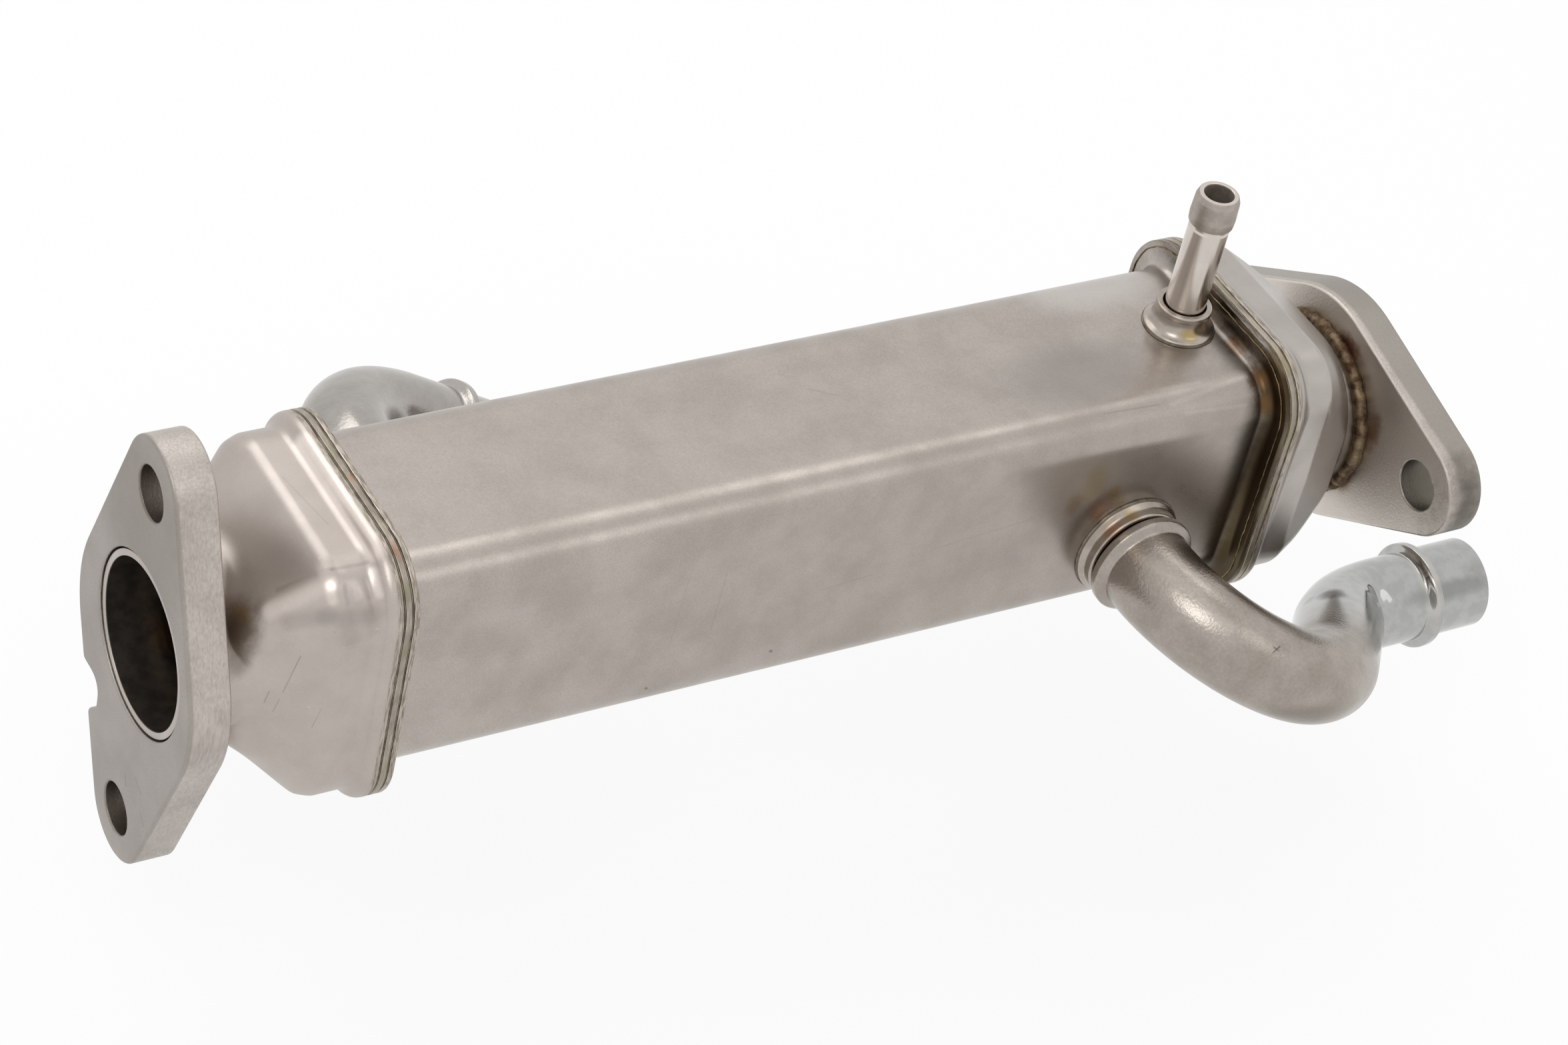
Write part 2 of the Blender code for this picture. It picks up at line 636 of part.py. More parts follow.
def make_flange(name, start, thickness, centre, spread, angle, bore):
    """A two-bolt flange with broken edges, two bolt holes and the neck's bore."""
    flange = baked(plate(name, [flange_outline(centre, spread, angle)], start, thickness))
    edge = flange.modifiers.new("edge", "BEVEL")
    edge.width = FLANGE_EDGE
    edge.segments = 1
    edge.limit_method = "ANGLE"
    edge.angle_limit = math.radians(60)
    for number, place in enumerate(ear_places(centre, spread, angle), 1):
        hole = bolt_cutter("%s_bolt_hole_%d" % (name, number), place, start, thickness)
        boolean(flange, hole, "DIFFERENCE")
    boolean(flange, bore, "DIFFERENCE")
    return flange


def notch_cutter():
    """The relief beside the inlet flange's lower ear, placed from the hub's centre."""
    floor = INLET_HUB_Y + NOTCH_FLOOR + 0.0014
    low = INLET_HUB_Z + NOTCH_LOW
    high = INLET_HUB_Z + NOTCH_HIGH
    out = INLET_HUB_Y + FLANGE_HUB_RADIUS + FLANGE_EAR_RADIUS
    middle = (floor + NOTCH_ROUND, high - NOTCH_ROUND)
    outline = arc(middle, NOTCH_ROUND, math.pi, math.pi / 2, 5)
    outline += [(out, high), (out, low - (out - floor)), (floor, low)]
    over = INLET_FLANGE_THICKNESS / 2
    return as_cutter(baked(plate("notch", [outline], -over, INLET_FLANGE_THICKNESS + 2 * over)))


def make_inlet_flange():
    """The inlet flange, whose bolt holes stand unequally far from the gas inlet."""
    bore = bore_cutter("inlet_neck_bore", 0, 1, INLET_NECK_RADIUS, (0, 0), INLET_FLANGE_THICKNESS)
    flange = make_flange("inlet_flange", 0, INLET_FLANGE_THICKNESS, (INLET_HUB_Y, INLET_HUB_Z),
                         INLET_BOLT_SPREAD, INLET_BOLT_ANGLE, bore)
    boolean(flange, notch_cutter(), "DIFFERENCE")
    return dress(flange, BLASTED, 0.5)


def make_outlet_flange():
    """The outlet flange, turned almost level."""
    centre = (OUTLET_SHIFT_Y, OUTLET_SHIFT_Z)
    bore = bore_cutter("outlet_neck_bore", OUTLET_FACE, -1, OUTLET_NECK_RADIUS, centre,
                       OUTLET_FLANGE_THICKNESS)
    flange = make_flange("outlet_flange", OUTLET_FLANGE_BACK, OUTLET_FLANGE_THICKNESS, centre,
                         OUTLET_BOLT_SPREAD, OUTLET_BOLT_ANGLE, bore)
    return dress(flange, BLASTED, 0.5)


# Bosses, pipes and nipple

def envelope():
    """The shell's outside with the seam gap, for cutting the foot of what sits on it."""
    ends = [(SHELL_START, RIM_OVERHANG)], [(SHELL_END, RIM_OVERHANG)]
    stations = [(x, shell_section(growth)) for x, growth in ends[0] + shell_profile(SEAM) + ends[1]]
    return as_cutter(loft("shell_envelope", stations, capped=True))


def make_pipe_boss(name, seat, outwards, wrap):
    """A collar round a coolant pipe, wider at its foot, which is cut to the shell."""
    inner = PIPE_RADIUS + SEAM
    wide = PIPE_RADIUS + PIPE_BOSS_FOOT
    narrow = wide - PIPE_BOSS_TAPER
    top = PIPE_BOSS_HEIGHT
    profile = [(inner, top), (narrow - SEAM, top), (narrow, top - SEAM), (wide - SEAM, 2 * SEAM),
               (wide, SEAM), (wide, -SHELL_CORNER / 2), (inner, -SHELL_CORNER / 2)]
    boss = turned(name, profile, seat, outwards)
    boolean(boss, wrap, "DIFFERENCE")
    return dress(boss, BRIGHT, 0.25)


def make_nipple_boss(wrap):
    """The nipple's boss: a wide foot that draws in to a waist under a lip."""
    inner = NIPPLE_RADIUS + SEAM
    lip = inner + NIPPLE_BOSS_WALL
    waist = lip - NIPPLE_BOSS_WAIST
    foot = NIPPLE_RADIUS + NIPPLE_BOSS_FOOT
    top = NIPPLE_BOSS_HEIGHT
    low = SEAM + NIPPLE_BOSS_EDGE
    under = top - NIPPLE_BOSS_LIP - NIPPLE_BOSS_WAIST
    sweep = [(foot + (waist - foot) * math.sin(a), low + (under - low) * (1 - math.cos(a)))
             for a in (math.pi / 2 * k / 4 for k in range(4, -1, -1))]
    profile = [(inner, top), (lip - SEAM, top), (lip, top - SEAM), (lip, top - NIPPLE_BOSS_LIP)]
    profile += sweep + [(foot, -SHELL_CORNER / 2), (inner, -SHELL_CORNER / 2)]
    boss = turned("nipple_boss", profile, NIPPLE_SEAT, Z_AXIS)
    boolean(boss, wrap, "DIFFERENCE")
    return dress(boss, BRIGHT, 0.2)


def make_nipple():
    """The bleed nipple: a turned tube with one barb at its top."""
    foot = -(SHELL_WALL + NIPPLE_INSIDE)
    top = NIPPLE_HEIGHT
    bore = NIPPLE_BORE / 2
    crest = NIPPLE_RADIUS + BARB_HEIGHT
    ledge = top - BARB_LENGTH
    profile = [(NIPPLE_RADIUS, top), (crest, top - BARB_CREST), (crest - BARB_HEIGHT / 3, ledge),
               (NIPPLE_RADIUS, ledge - BARB_HEIGHT / 3), (NIPPLE_RADIUS, foot), (bore, foot), (bore, top)]
    return dress(turned("bleed_nipple", profile, NIPPLE_SEAT, Z_AXIS), BRIGHT, 0.22)


def straight(points, heading, length):
    """Lengthen a route in a straight line."""
    points.append(points[-1] + heading * length)
    return heading


def bend(points, heading, radius, angle, towards):
    """Bend a route by an angle towards a direction, and give its new heading."""
    side = (towards - heading * towards.dot(heading)).normalized()
    centre = points[-1] + side * radius
    steps = max(2, math.ceil(angle / PIPE_BEND_STEP))
    for k in range(1, steps + 1):
        turn = angle * k / steps
        points.append(centre - side * radius * math.cos(turn) + heading * radius * math.sin(turn))
    return heading * math.cos(angle) + side * math.sin(angle)


def leave_shell(seat, outwards, stub, radius, angle, tilt):
    """The first of a pipe's centre line, out of the shell and round a bend, and its heading there."""
    sunk = SHELL_WALL + PIPE_INSIDE
    points = [seat - outwards * sunk]
    heading = straight(points, outwards, sunk + stub)
    return points, bend(points, heading, radius, angle, Vector((math.cos(tilt), 0, math.sin(tilt))))


def with_bead(points, place_on_leg, from_end):
    """Split the first or last leg of a route at a bead's five stations."""
    offsets = [-0.5, -0.28, 0, 0.28, 0.5]
    near, far = (points[-1], points[-2]) if from_end else (points[0], points[1])
    along = (far - near).normalized()
    stations = [near + along * (place_on_leg + BEAD_WIDTH * k) for k in offsets]
    swell = BEAD_HEIGHT / PIPE_RADIUS
    radii = [1, 1 + 0.8 * swell, 1 + swell, 1 + 0.8 * swell, 1]
    return stations, radii


def pipe_solid(name, points, radii, radius):
    """A round solid along a route, whose points can swell."""
    curve = bpy.data.curves.new(name, "CURVE")
    curve.dimensions = "3D"
    curve.bevel_depth = radius
    curve.bevel_resolution = PIPE_SIDE_PAIRS
    curve.use_fill_caps = True
    spline = curve.splines.new("POLY")
    spline.points.add(len(points) - 1)
    for point, place, swell in zip(spline.points, points, radii):
        point.co = (*place, 1)
        point.radius = swell
    return baked(bpy.data.objects.new(name, curve))


def make_pipe(name, route):
    """A hollow coolant pipe with a bead outside its boss and one for its hose."""
    boss_bead = SHELL_WALL + PIPE_INSIDE + PIPE_BOSS_HEIGHT + BEAD_GAP + BEAD_WIDTH / 2
    first, swell = with_bead(route, boss_bead, False)
    last, _ = with_bead(route, PIPE_TAIL, True)
    points = [route[0]] + first + route[1:-1] + last[::-1] + [route[-1]]
    radii = [1] + swell + [1] * (len(route) - 2) + swell + [1]
    pipe = pipe_solid(name, points, radii, PIPE_RADIUS)
    over = PIPE_WALL
    inner = [route[0] + (route[0] - route[1]).normalized() * over] + route[1:-1]
    inner.append(route[-1] + (route[-1] - route[-2]).normalized() * over)
    bore = as_cutter(pipe_solid(name + "_bore", inner, [1] * len(inner), PIPE_RADIUS - PIPE_WALL))
    boolean(pipe, bore, "DIFFERENCE")
    return dress(pipe, SATIN, 0.34)


def make_front_pipe():
    """The long pipe, which loops out in front of the shell and past the outlet flange."""
    route, heading = leave_shell(FRONT_SEAT, -Y_AXIS, FRONT_STUB, FRONT_BEND_RADIUS, FRONT_BEND_ANGLE,
                                 FRONT_BEND_TILT)
    heading = straight(route, heading, FRONT_RETURN)
    heading = bend(route, heading, FRONT_LAST_RADIUS, heading.angle(X_AXIS), X_AXIS)
    straight(route, heading, FRONT_LAST_STRAIGHT)
    return make_pipe("front_coolant_pipe", route)


def make_rear_pipe():
    """The short pipe behind the inlet end."""
    route, heading = leave_shell(REAR_SEAT, Y_AXIS, REAR_STUB, REAR_BEND_RADIUS, REAR_BEND_ANGLE,
                                 REAR_BEND_TILT)
    straight(route, heading, REAR_LAST_STRAIGHT)
    return make_pipe("rear_coolant_pipe", route)


FRONT_SEAT = Vector((SHELL_END - FRONT_PIPE_TO_OUTLET, -SHELL_WIDTH / 2, FRONT_PIPE_Z))
REAR_SEAT = Vector((SHELL_START + REAR_PIPE_TO_INLET, SHELL_WIDTH / 2, REAR_PIPE_Z))
NIPPLE_SEAT = Vector((SHELL_END - NIPPLE_TO_OUTLET, NIPPLE_Y, SHELL_HEIGHT / 2))

clear_scene()
PARTS = new_collection("egr_cooler")
CUTTERS = new_collection("cutters")

make_shell()
make_tube_sheet("inlet_tube_sheet", INLET_SHEET)
make_tube_sheet("outlet_tube_sheet", OUTLET_SHEET)
for number in range(BAFFLE_COUNT):
    station = SHELL_START + SHELL_LENGTH * (number + 1) / (BAFFLE_COUNT + 1)
    make_baffle("support_baffle_%d" % (number + 1), station, 1 if number % 2 else -1)
make_gas_tubes()
make_inlet_header()
make_outlet_header()
make_inlet_flange()
make_outlet_flange()
wrap = envelope()
make_pipe_boss("front_pipe_boss", FRONT_SEAT, -Y_AXIS, wrap)
make_pipe_boss("rear_pipe_boss", REAR_SEAT, Y_AXIS, wrap)
make_nipple_boss(wrap)
make_nipple()
make_front_pipe()
make_rear_pipe()
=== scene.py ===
"""Looks of the EGR cooler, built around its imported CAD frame.

Each sub-assembly is a class that holds its sizes in metres and builds smooth meshes for the CAD
nodes it stands for. Each finish is a frozen dataclass that builds one procedural steel.
"""
from __future__ import annotations

import logging
import math
from dataclasses import dataclass, field, replace
from enum import Enum
from typing import Iterable, Sequence

import bmesh
import bpy
import numpy as np
from mathutils import Matrix, Vector

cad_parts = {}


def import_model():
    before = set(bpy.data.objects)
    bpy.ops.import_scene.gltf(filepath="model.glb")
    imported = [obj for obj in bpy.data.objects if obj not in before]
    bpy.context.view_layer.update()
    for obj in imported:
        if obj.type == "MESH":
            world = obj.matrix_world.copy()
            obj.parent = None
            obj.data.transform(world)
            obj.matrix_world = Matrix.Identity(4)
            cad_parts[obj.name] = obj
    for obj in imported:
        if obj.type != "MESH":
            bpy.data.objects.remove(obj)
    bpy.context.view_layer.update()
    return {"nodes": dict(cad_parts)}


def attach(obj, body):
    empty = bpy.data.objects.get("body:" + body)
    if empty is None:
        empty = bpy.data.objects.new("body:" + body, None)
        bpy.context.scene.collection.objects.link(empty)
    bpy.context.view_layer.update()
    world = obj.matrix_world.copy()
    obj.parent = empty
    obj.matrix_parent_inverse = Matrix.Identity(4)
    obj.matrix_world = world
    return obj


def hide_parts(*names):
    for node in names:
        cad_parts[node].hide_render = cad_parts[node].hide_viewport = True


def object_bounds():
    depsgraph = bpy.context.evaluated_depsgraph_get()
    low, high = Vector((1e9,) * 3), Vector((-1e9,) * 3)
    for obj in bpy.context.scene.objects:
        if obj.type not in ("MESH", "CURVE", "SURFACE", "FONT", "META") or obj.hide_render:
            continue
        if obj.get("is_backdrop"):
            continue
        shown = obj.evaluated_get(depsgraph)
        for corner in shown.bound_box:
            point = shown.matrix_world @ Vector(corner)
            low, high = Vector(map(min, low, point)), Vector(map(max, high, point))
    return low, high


Colour = tuple[float, float, float, float]
Place = tuple[float, float, float]
Pair = tuple[float, float]
Thing = bpy.types.Object
Material = bpy.types.Material
Tree = bpy.types.NodeTree
Socket = bpy.types.NodeSocket

LOG = logging.getLogger("egr_cooler")
MM = 0.001
BODY = "root"
X_AXIS, Y_AXIS, Z_AXIS = Vector((1, 0, 0)), Vector((0, 1, 0)), Vector((0, 0, 1))

# How many points lie round each kind of piece.
AROUND = 256
TURNED_AROUND = 128
PIPE_AROUND = 96
CUTTER_AROUND = 64
TUBE_AROUND = 40
SEAM_AROUND = 240
# Where the middle point of a softened edge lies, as a share of the edge's radius.
SOFT_MIDDLE = 0.3
SAME_POINT = 1e-7
OUTLINE_STEP = 0.0003
# How far out on the shell's corner a collar still follows it, as a share of the corner's radius.
DROP_LIMIT = 0.98


@dataclass(frozen=True)
class Plan:
    """Sizes that several sub-assemblies share, the same as the CAD source's.

    Only the joggle's valley is softer here than in the source, for the photograph's wide highlight.
    """

    shell_width: float = 0.0442
    shell_height: float = 0.0480
    shell_corner: float = 0.0074
    shell_wall: float = 0.0012
    shell_start: float = 0.03734
    shell_end: float = 0.22354
    rim_overhang: float = 0.0053
    seam: float = 0.0003
    tube_sheet: float = 0.0012
    header_wall: float = 0.0020
    header_step: float = 0.0023
    rim_skirt: float = 0.0008
    joggle_valley: float = 0.0024
    joggle_crest_inside: float = 0.0003

    @property
    def inlet_sheet(self) -> float:
        """Where the inlet tube sheet starts along X."""
        return self.shell_start - self.seam - self.tube_sheet

    @property
    def inlet_rim(self) -> float:
        """Where the inlet header's rim ends along X."""
        return self.inlet_sheet - self.seam

    @property
    def outlet_sheet(self) -> float:
        """Where the outlet tube sheet starts along X."""
        return self.shell_end + self.seam

    @property
    def outlet_rim(self) -> float:
        """Where the outlet header's rim starts along X."""
        return self.outlet_sheet + self.tube_sheet + self.seam

    @property
    def body_growth(self) -> float:
        """How far a header's square body stands out beyond the shell's outline."""
        return self.rim_overhang - self.header_step

    @property
    def body(self) -> Place:
        """Half the width, half the height and the corner radius of a header's square body."""
        return (self.shell_width / 2 + self.body_growth, self.shell_height / 2 + self.body_growth,
                self.shell_corner + self.body_growth)

    @property
    def joggle_crest(self) -> float:
        """The radius of the joggle's outer bend."""
        return self.header_wall + self.joggle_crest_inside

    @property
    def joggle_lean(self) -> float:
        """How steep the joggle is between its two bends, in radians."""
        radii = self.joggle_crest + self.joggle_valley
        return math.acos(max(0.0, 1 - self.header_step / radii))

    @property
    def joggle_length(self) -> float:
        """How far the joggle at a header's rim runs along X."""
        return (self.joggle_crest + self.joggle_valley) * math.sin(self.joggle_lean)


PLAN = Plan()
FRONT_SEAT = Vector((PLAN.shell_end - 0.0270, -PLAN.shell_width / 2, -0.0089))
REAR_SEAT = Vector((PLAN.shell_start + 0.0198, PLAN.shell_width / 2, 0.0002))
NIPPLE_SEAT = Vector((PLAN.shell_end - 0.0094, 0.0006, PLAN.shell_height / 2))
PIPE_SUNK = 0.0020


# Meshes

def smooth_step(amount: np.ndarray | float) -> np.ndarray:
    """A smooth step from 0 to 1."""
    held = np.clip(amount, 0.0, 1.0)
    return held * held * (3 - 2 * held)


def circle(count: int = AROUND) -> np.ndarray:
    """Points evenly spaced round a circle of radius 1."""
    angles = (np.arange(count) + 0.5) / count * math.tau
    return np.stack([np.cos(angles), np.sin(angles)], axis=-1)


def reach(half_width: float, half_height: float, corner: float) -> np.ndarray:
    """The distances from a rounded rectangle's centre to its outline, all the way round.

    Args:
        half_width: Half its size along Y.
        half_height: Half its size along Z.
        corner: The radius of its corners.

    Returns:
        One distance for each of the circle's directions.
    """
    across, up = np.abs(circle()).T
    middle_y, middle_z = half_width - corner, half_height - corner
    off = middle_y * up - middle_z * across
    rounded = middle_y * across + middle_z * up + np.sqrt(np.maximum(corner ** 2 - off ** 2, 0))
    side = half_width / np.maximum(across, 1e-9)
    top = half_height / np.maximum(up, 1e-9)
    on_side = half_width * up <= middle_z * across
    on_top = half_height * across <= middle_y * up
    return np.where(on_side, side, np.where(on_top, top, rounded))


def shell_section(growth: float) -> np.ndarray:
    """The shell's outline in YZ, grown outwards by a distance."""
    radius = reach(PLAN.shell_width / 2 + growth, PLAN.shell_height / 2 + growth,
                   PLAN.shell_corner + growth)
    return radius[:, None] * circle()


def ring_at(place: float, outline: np.ndarray) -> np.ndarray:
    """An outline in YZ as a ring of points at a place along X."""
    return np.column_stack([np.full(len(outline), place), outline])


def soft_edge(soft: float) -> list[Pair]:
    """Three points round a softened edge, as distances in from its end and from its side."""
    return [(0.0, soft), (soft * SOFT_MIDDLE, soft * SOFT_MIDDLE), (soft, 0.0)]


def filleted(corners: Sequence[Pair], radii: Sequence[float], steps: int,
             closed: bool = False) -> list[Pair]:
    """A path through corners in a plane, with an arc at each one that has a radius.

    Args:
        corners: The path's corners.
        radii: One radius for each corner. The first and last of an open path aren't read.
        steps: How many steps each arc has.
        closed: Whether the path's end joins its start.

    Returns:
        The path's points.
    """
    path: list[Pair] = []
    for index, (corner, radius) in enumerate(zip(corners, radii)):
        middle = Vector(corner)
        arriving = (middle - Vector(corners[index - 1])).normalized()
        leaving = (Vector(corners[(index + 1) % len(corners)]) - middle).normalized()
        inner = closed or 0 < index < len(corners) - 1
        turn = arriving.angle(leaving, 0.0)
        if not inner or radius <= 0 or turn < 1e-4:
            path.append(tuple(corner))
            continue
        side = (leaving - arriving).normalized()
        ahead = (arriving + leaving).normalized()
        centre = middle + side * (radius / math.cos(turn / 2))
        for k in range(steps + 1):
            lean = turn * (k / steps - 0.5)
            across = side * -math.cos(lean) + ahead * math.sin(lean)
            path.append(tuple(centre + across * radius))
    return path


def sheet_normals(grid: np.ndarray) -> np.ndarray:
    """Unit normals of a sheet of rings, facing away from each ring's middle."""
    along = np.gradient(grid, axis=0)
    normals = np.cross(np.roll(grid, -1, axis=1) - np.roll(grid, 1, axis=1), along)
    normals /= np.maximum(np.linalg.norm(normals, axis=-1, keepdims=True), 1e-12)
    outwards = grid - grid.mean(axis=1, keepdims=True)
    return -normals if (normals * outwards).sum() < 0 else normals


def ring_mesh(name: str, grid: np.ndarray, marks: dict[str, np.ndarray] | None = None) -> Thing:
    """A closed wall: rings of points, the last of which joins the first.

    Args:
        name: The new object's name.
        grid: Rings of points, down the outside and back up the inside.
        marks: Values from 0 to 1, one for each ring, kept as attributes for the finish.

    Returns:
        The object, with its faces pointing outwards.
    """
    rings, around = grid.shape[:2]
    index = np.arange(rings * around).reshape(rings, around)
    beside = np.roll(index, -1, axis=1)
    faces = np.stack([index, beside, np.roll(beside, -1, axis=0), np.roll(index, -1, axis=0)],
                     axis=-1).reshape(-1, 4)
    points = grid.reshape(-1, 3)
    a, b, c, d = (points[faces[:, k]] for k in range(4))
    if (np.cross(a, b) * c).sum() + (np.cross(a, c) * d).sum() < 0:
        faces = faces[:, ::-1]
    mesh = bpy.data.meshes.new(name)
    mesh.from_pydata(points.tolist(), [], faces.tolist())
    for mark, values in (marks or {}).items():
        attribute = mesh.attributes.new(mark, "FLOAT", "POINT")
        attribute.data.foreach_set("value", np.repeat(np.asarray(values, float), around))
    mesh.validate()
    return bpy.data.objects.new(name, mesh)


def turned_grid(profile: Sequence[Pair], base: Vector, axis: Vector,
                around: int = TURNED_AROUND) -> np.ndarray:
    """Turn a closed profile round an axis.

    Args:
        profile: Pairs of radius and height.
        base: The point at height 0 on the axis.
        axis: The axis's direction.
        around: How many points each ring has.

    Returns:
        Rings of points.
    """
    turn = Z_AXIS.rotation_difference(axis).to_matrix()
    wheel = circle(around) @ np.array((turn @ X_AXIS, turn @ Y_AXIS))
    radii, heights = np.array(profile, float).T[:, :, None, None]
    return np.array(base) + heights * np.array(axis.normalized()) + radii * wheel


def link(thing: Thing) -> Thing:
    """Put an object into the scene, if it isn't there, and give it back."""
    if not thing.users_collection:
        bpy.context.scene.collection.objects.link(thing)
    return thing


def polylines(name: str, paths: Iterable[np.ndarray], dimensions: str) -> Thing:
    """A curve object with a closed line of straight steps through each path's points."""
    curve = bpy.data.curves.new(name, "CURVE")
    curve.dimensions = dimensions
    for path in paths:
        spline = curve.splines.new("POLY")
        spline.points.add(len(path) - 1)
        spline.points.foreach_set("co", np.column_stack([path, np.ones(len(path))]).ravel())
        spline.use_cyclic_u = True
    return link(bpy.data.objects.new(name, curve))


def baked_mesh(thing: Thing) -> bpy.types.Mesh:
    """An object's mesh with its modifiers applied."""
    bpy.context.view_layer.update()
    graph = bpy.context.evaluated_depsgraph_get()
    return bpy.data.meshes.new_from_object(thing.evaluated_get(graph))


def bake(thing: Thing) -> Thing:
    """Turn a curve, or a mesh with modifiers, into a plain mesh object of the same name."""
    mesh = baked_mesh(thing)
    name = thing.name
    bpy.data.objects.remove(thing)
    mesh.name = name
    return link(bpy.data.objects.new(name, mesh))


def weld(thing: Thing) -> None:
    """Merge a mesh's doubled points and face it outwards."""
    builder = bmesh.new()
    builder.from_mesh(thing.data)
    bmesh.ops.remove_doubles(builder, verts=builder.verts, dist=SAME_POINT)
    bmesh.ops.recalc_face_normals(builder, faces=builder.faces)
    builder.to_mesh(thing.data)
    builder.free()


def cut(thing: Thing, name: str, seat: Vector, outwards: Vector, radius: float,
        reach_out: float) -> None:
    """Cut a round hole through a wall with an exact Boolean.

    Args:
        thing: The piece.
        name: The cutter's name.
        seat: A point on the hole's axis.
        outwards: The axis's direction.
        radius: The hole's radius.
        reach_out: How far the cutter runs each way from the seat.
    """
    profile = [(0.0, reach_out), (radius, reach_out), (radius, -reach_out), (0.0, -reach_out)]
    cutter = ring_mesh(name, turned_grid(profile, seat, outwards, CUTTER_AROUND))
    weld(cutter)
    modifier = link(thing).modifiers.new(name, "BOOLEAN")
    modifier.operation = "DIFFERENCE"
    modifier.solver = "EXACT"
    modifier.object = link(cutter)
    mesh = baked_mesh(thing)
    thing.modifiers.clear()
    thing.data = mesh
    bpy.data.objects.remove(cutter)


def finish_piece(thing: Thing, material: Material, stands_for: Sequence[str] = (),
                 sharp: float = 40.0) -> Thing:
    """Smooth a piece's faces, give it its steel and fix it to the frame.

    Args:
        thing: The piece, with its place in its mesh.
        material: Its finish.
        stands_for: The CAD nodes it replaces.
        sharp: The angle in degrees above which an edge stays sharp.

    Returns:
        The finished piece.
    """
    link(thing).data.shade_smooth()
    thing.data.set_sharp_from_angle(angle=math.radians(sharp))
    weighted = thing.modifiers.new("weighted", "WEIGHTED_NORMAL")
    weighted.mode = "FACE_AREA"
    weighted.keep_sharp = True
    thing = bake(thing)
    thing.data.materials.clear()
    thing.data.materials.append(material)
    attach(thing, BODY)
    if stands_for:
        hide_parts(*stands_for)
    LOG.info("%s: %d faces", thing.name, len(thing.data.polygons))
    return thing


# Node trees

def hex_to_linear(code: str) -> Colour:
    """Turn an sRGB colour, six hex digits after a #, into Blender's linear one."""
    channels = [int(code[k:k + 2], 16) / 255 for k in (1, 3, 5)]
    linear = [c / 12.92 if c <= 0.04045 else ((c + 0.055) / 1.055) ** 2.4 for c in channels]
    return (*linear, 1.0)


def set_inputs(node: bpy.types.Node, inputs: dict) -> None:
    """Give a node's inputs a value or a link from another node's output each."""
    for key, value in inputs.items():
        if isinstance(value, Socket):
            node.id_data.links.new(value, node.inputs[key])
        else:
            node.inputs[key].default_value = value


def add_node(tree: Tree, kind: str, inputs: dict | None = None, **settings) -> bpy.types.Node:
    """Add a node with its settings, values and links.

    Args:
        tree: The tree it goes into.
        kind: Blender's name for the node type.
        inputs: A value or another node's output for each input, by name or number.
        settings: The node's own properties.

    Returns:
        The node.
    """
    node = tree.nodes.new(kind)
    for key, value in settings.items():
        setattr(node, key, value)
    set_inputs(node, inputs or {})
    return node


@dataclass
class Nodes:
    """A node tree with a short method for each kind of node that repeats.

    A method's values are numbers, vectors or other nodes' outputs. What it gives is its result's
    socket.
    """

    tree: Tree

    def math(self, operation: str, *values: Socket | float, clamp: bool = False) -> Socket:
        """Calculate with numbers."""
        return add_node(self.tree, "ShaderNodeMath", dict(enumerate(values)), operation=operation,
                        use_clamp=clamp).outputs[0]

    def vector(self, operation: str, *values: Socket | Place, output: int | str = 0) -> Socket:
        """Calculate with vectors."""
        return add_node(self.tree, "ShaderNodeVectorMath", dict(enumerate(values)),
                        operation=operation).outputs[output]

    def scaled(self, vector: Socket | Place, factor: Socket | float) -> Socket:
        """Multiply a vector or a colour by a number."""
        return add_node(self.tree, "ShaderNodeVectorMath", {0: vector, "Scale": factor},
                        operation="SCALE").outputs[0]

    def ramp(self, value: Socket, source: tuple, target: Pair = (0.0, 1.0),
             smooth: bool = False) -> Socket:
        """Map one range of numbers onto another and hold it at both ends."""
        return add_node(self.tree, "ShaderNodeMapRange",
                        {"Value": value, "From Min": source[0], "From Max": source[1],
                         "To Min": target[0], "To Max": target[1]},
                        interpolation_type="SMOOTHSTEP" if smooth else "LINEAR").outputs["Result"]

    def blend(self, share: Socket, under: Socket | Colour, over: Socket | Colour) -> Socket:
        """Mix two colours."""
        return add_node(self.tree, "ShaderNodeMix", {0: share, 6: under, 7: over},
                        data_type="RGBA").outputs[2]

    def between(self, share: Socket, low: Socket | float, high: Socket | float) -> Socket:
        """Mix two numbers."""
        return add_node(self.tree, "ShaderNodeMix", {0: share, 2: low, 3: high}).outputs[0]

    def mapped(self, place: Socket, scale: Place, turn: Place = (0.0, 0.0, 0.0)) -> Socket:
        """Turn and stretch the coordinates."""
        return add_node(self.tree, "ShaderNodeMapping",
                        {"Vector": place, "Rotation": turn, "Scale": scale}).outputs[0]

    def noise(self, place: Socket, size: float, detail: float, rough: float = 0.5) -> Socket:
        """A noise from 0 to 1 whose patches have a size in millimetres."""
        return add_node(self.tree, "ShaderNodeTexNoise",
                        {"Vector": place, "Scale": 1 / (size * MM), "Detail": detail,
                         "Roughness": rough}).outputs[0]

    def attribute(self, name: str) -> Socket:
        """A mesh attribute as a number."""
        return add_node(self.tree, "ShaderNodeAttribute", attribute_name=name).outputs["Fac"]


@dataclass
class Surface:
    """A material in the making: what its layers read, and its sockets so far."""

    nodes: Nodes
    place: Socket
    ragged: Socket
    colour: Socket
    sheen: Socket
    height: Socket
    metal: Socket | float = 1.0


class Grain(Enum):
    """Which way a surface's fine marks run, as how fast they change along X, Y and Z."""

    EVEN = (1.0, 1.0, 1.0)
    ALONG_Z = (1.0, 1.0, 0.12)
    ACROSS_X = (1.0, 0.10, 0.10)


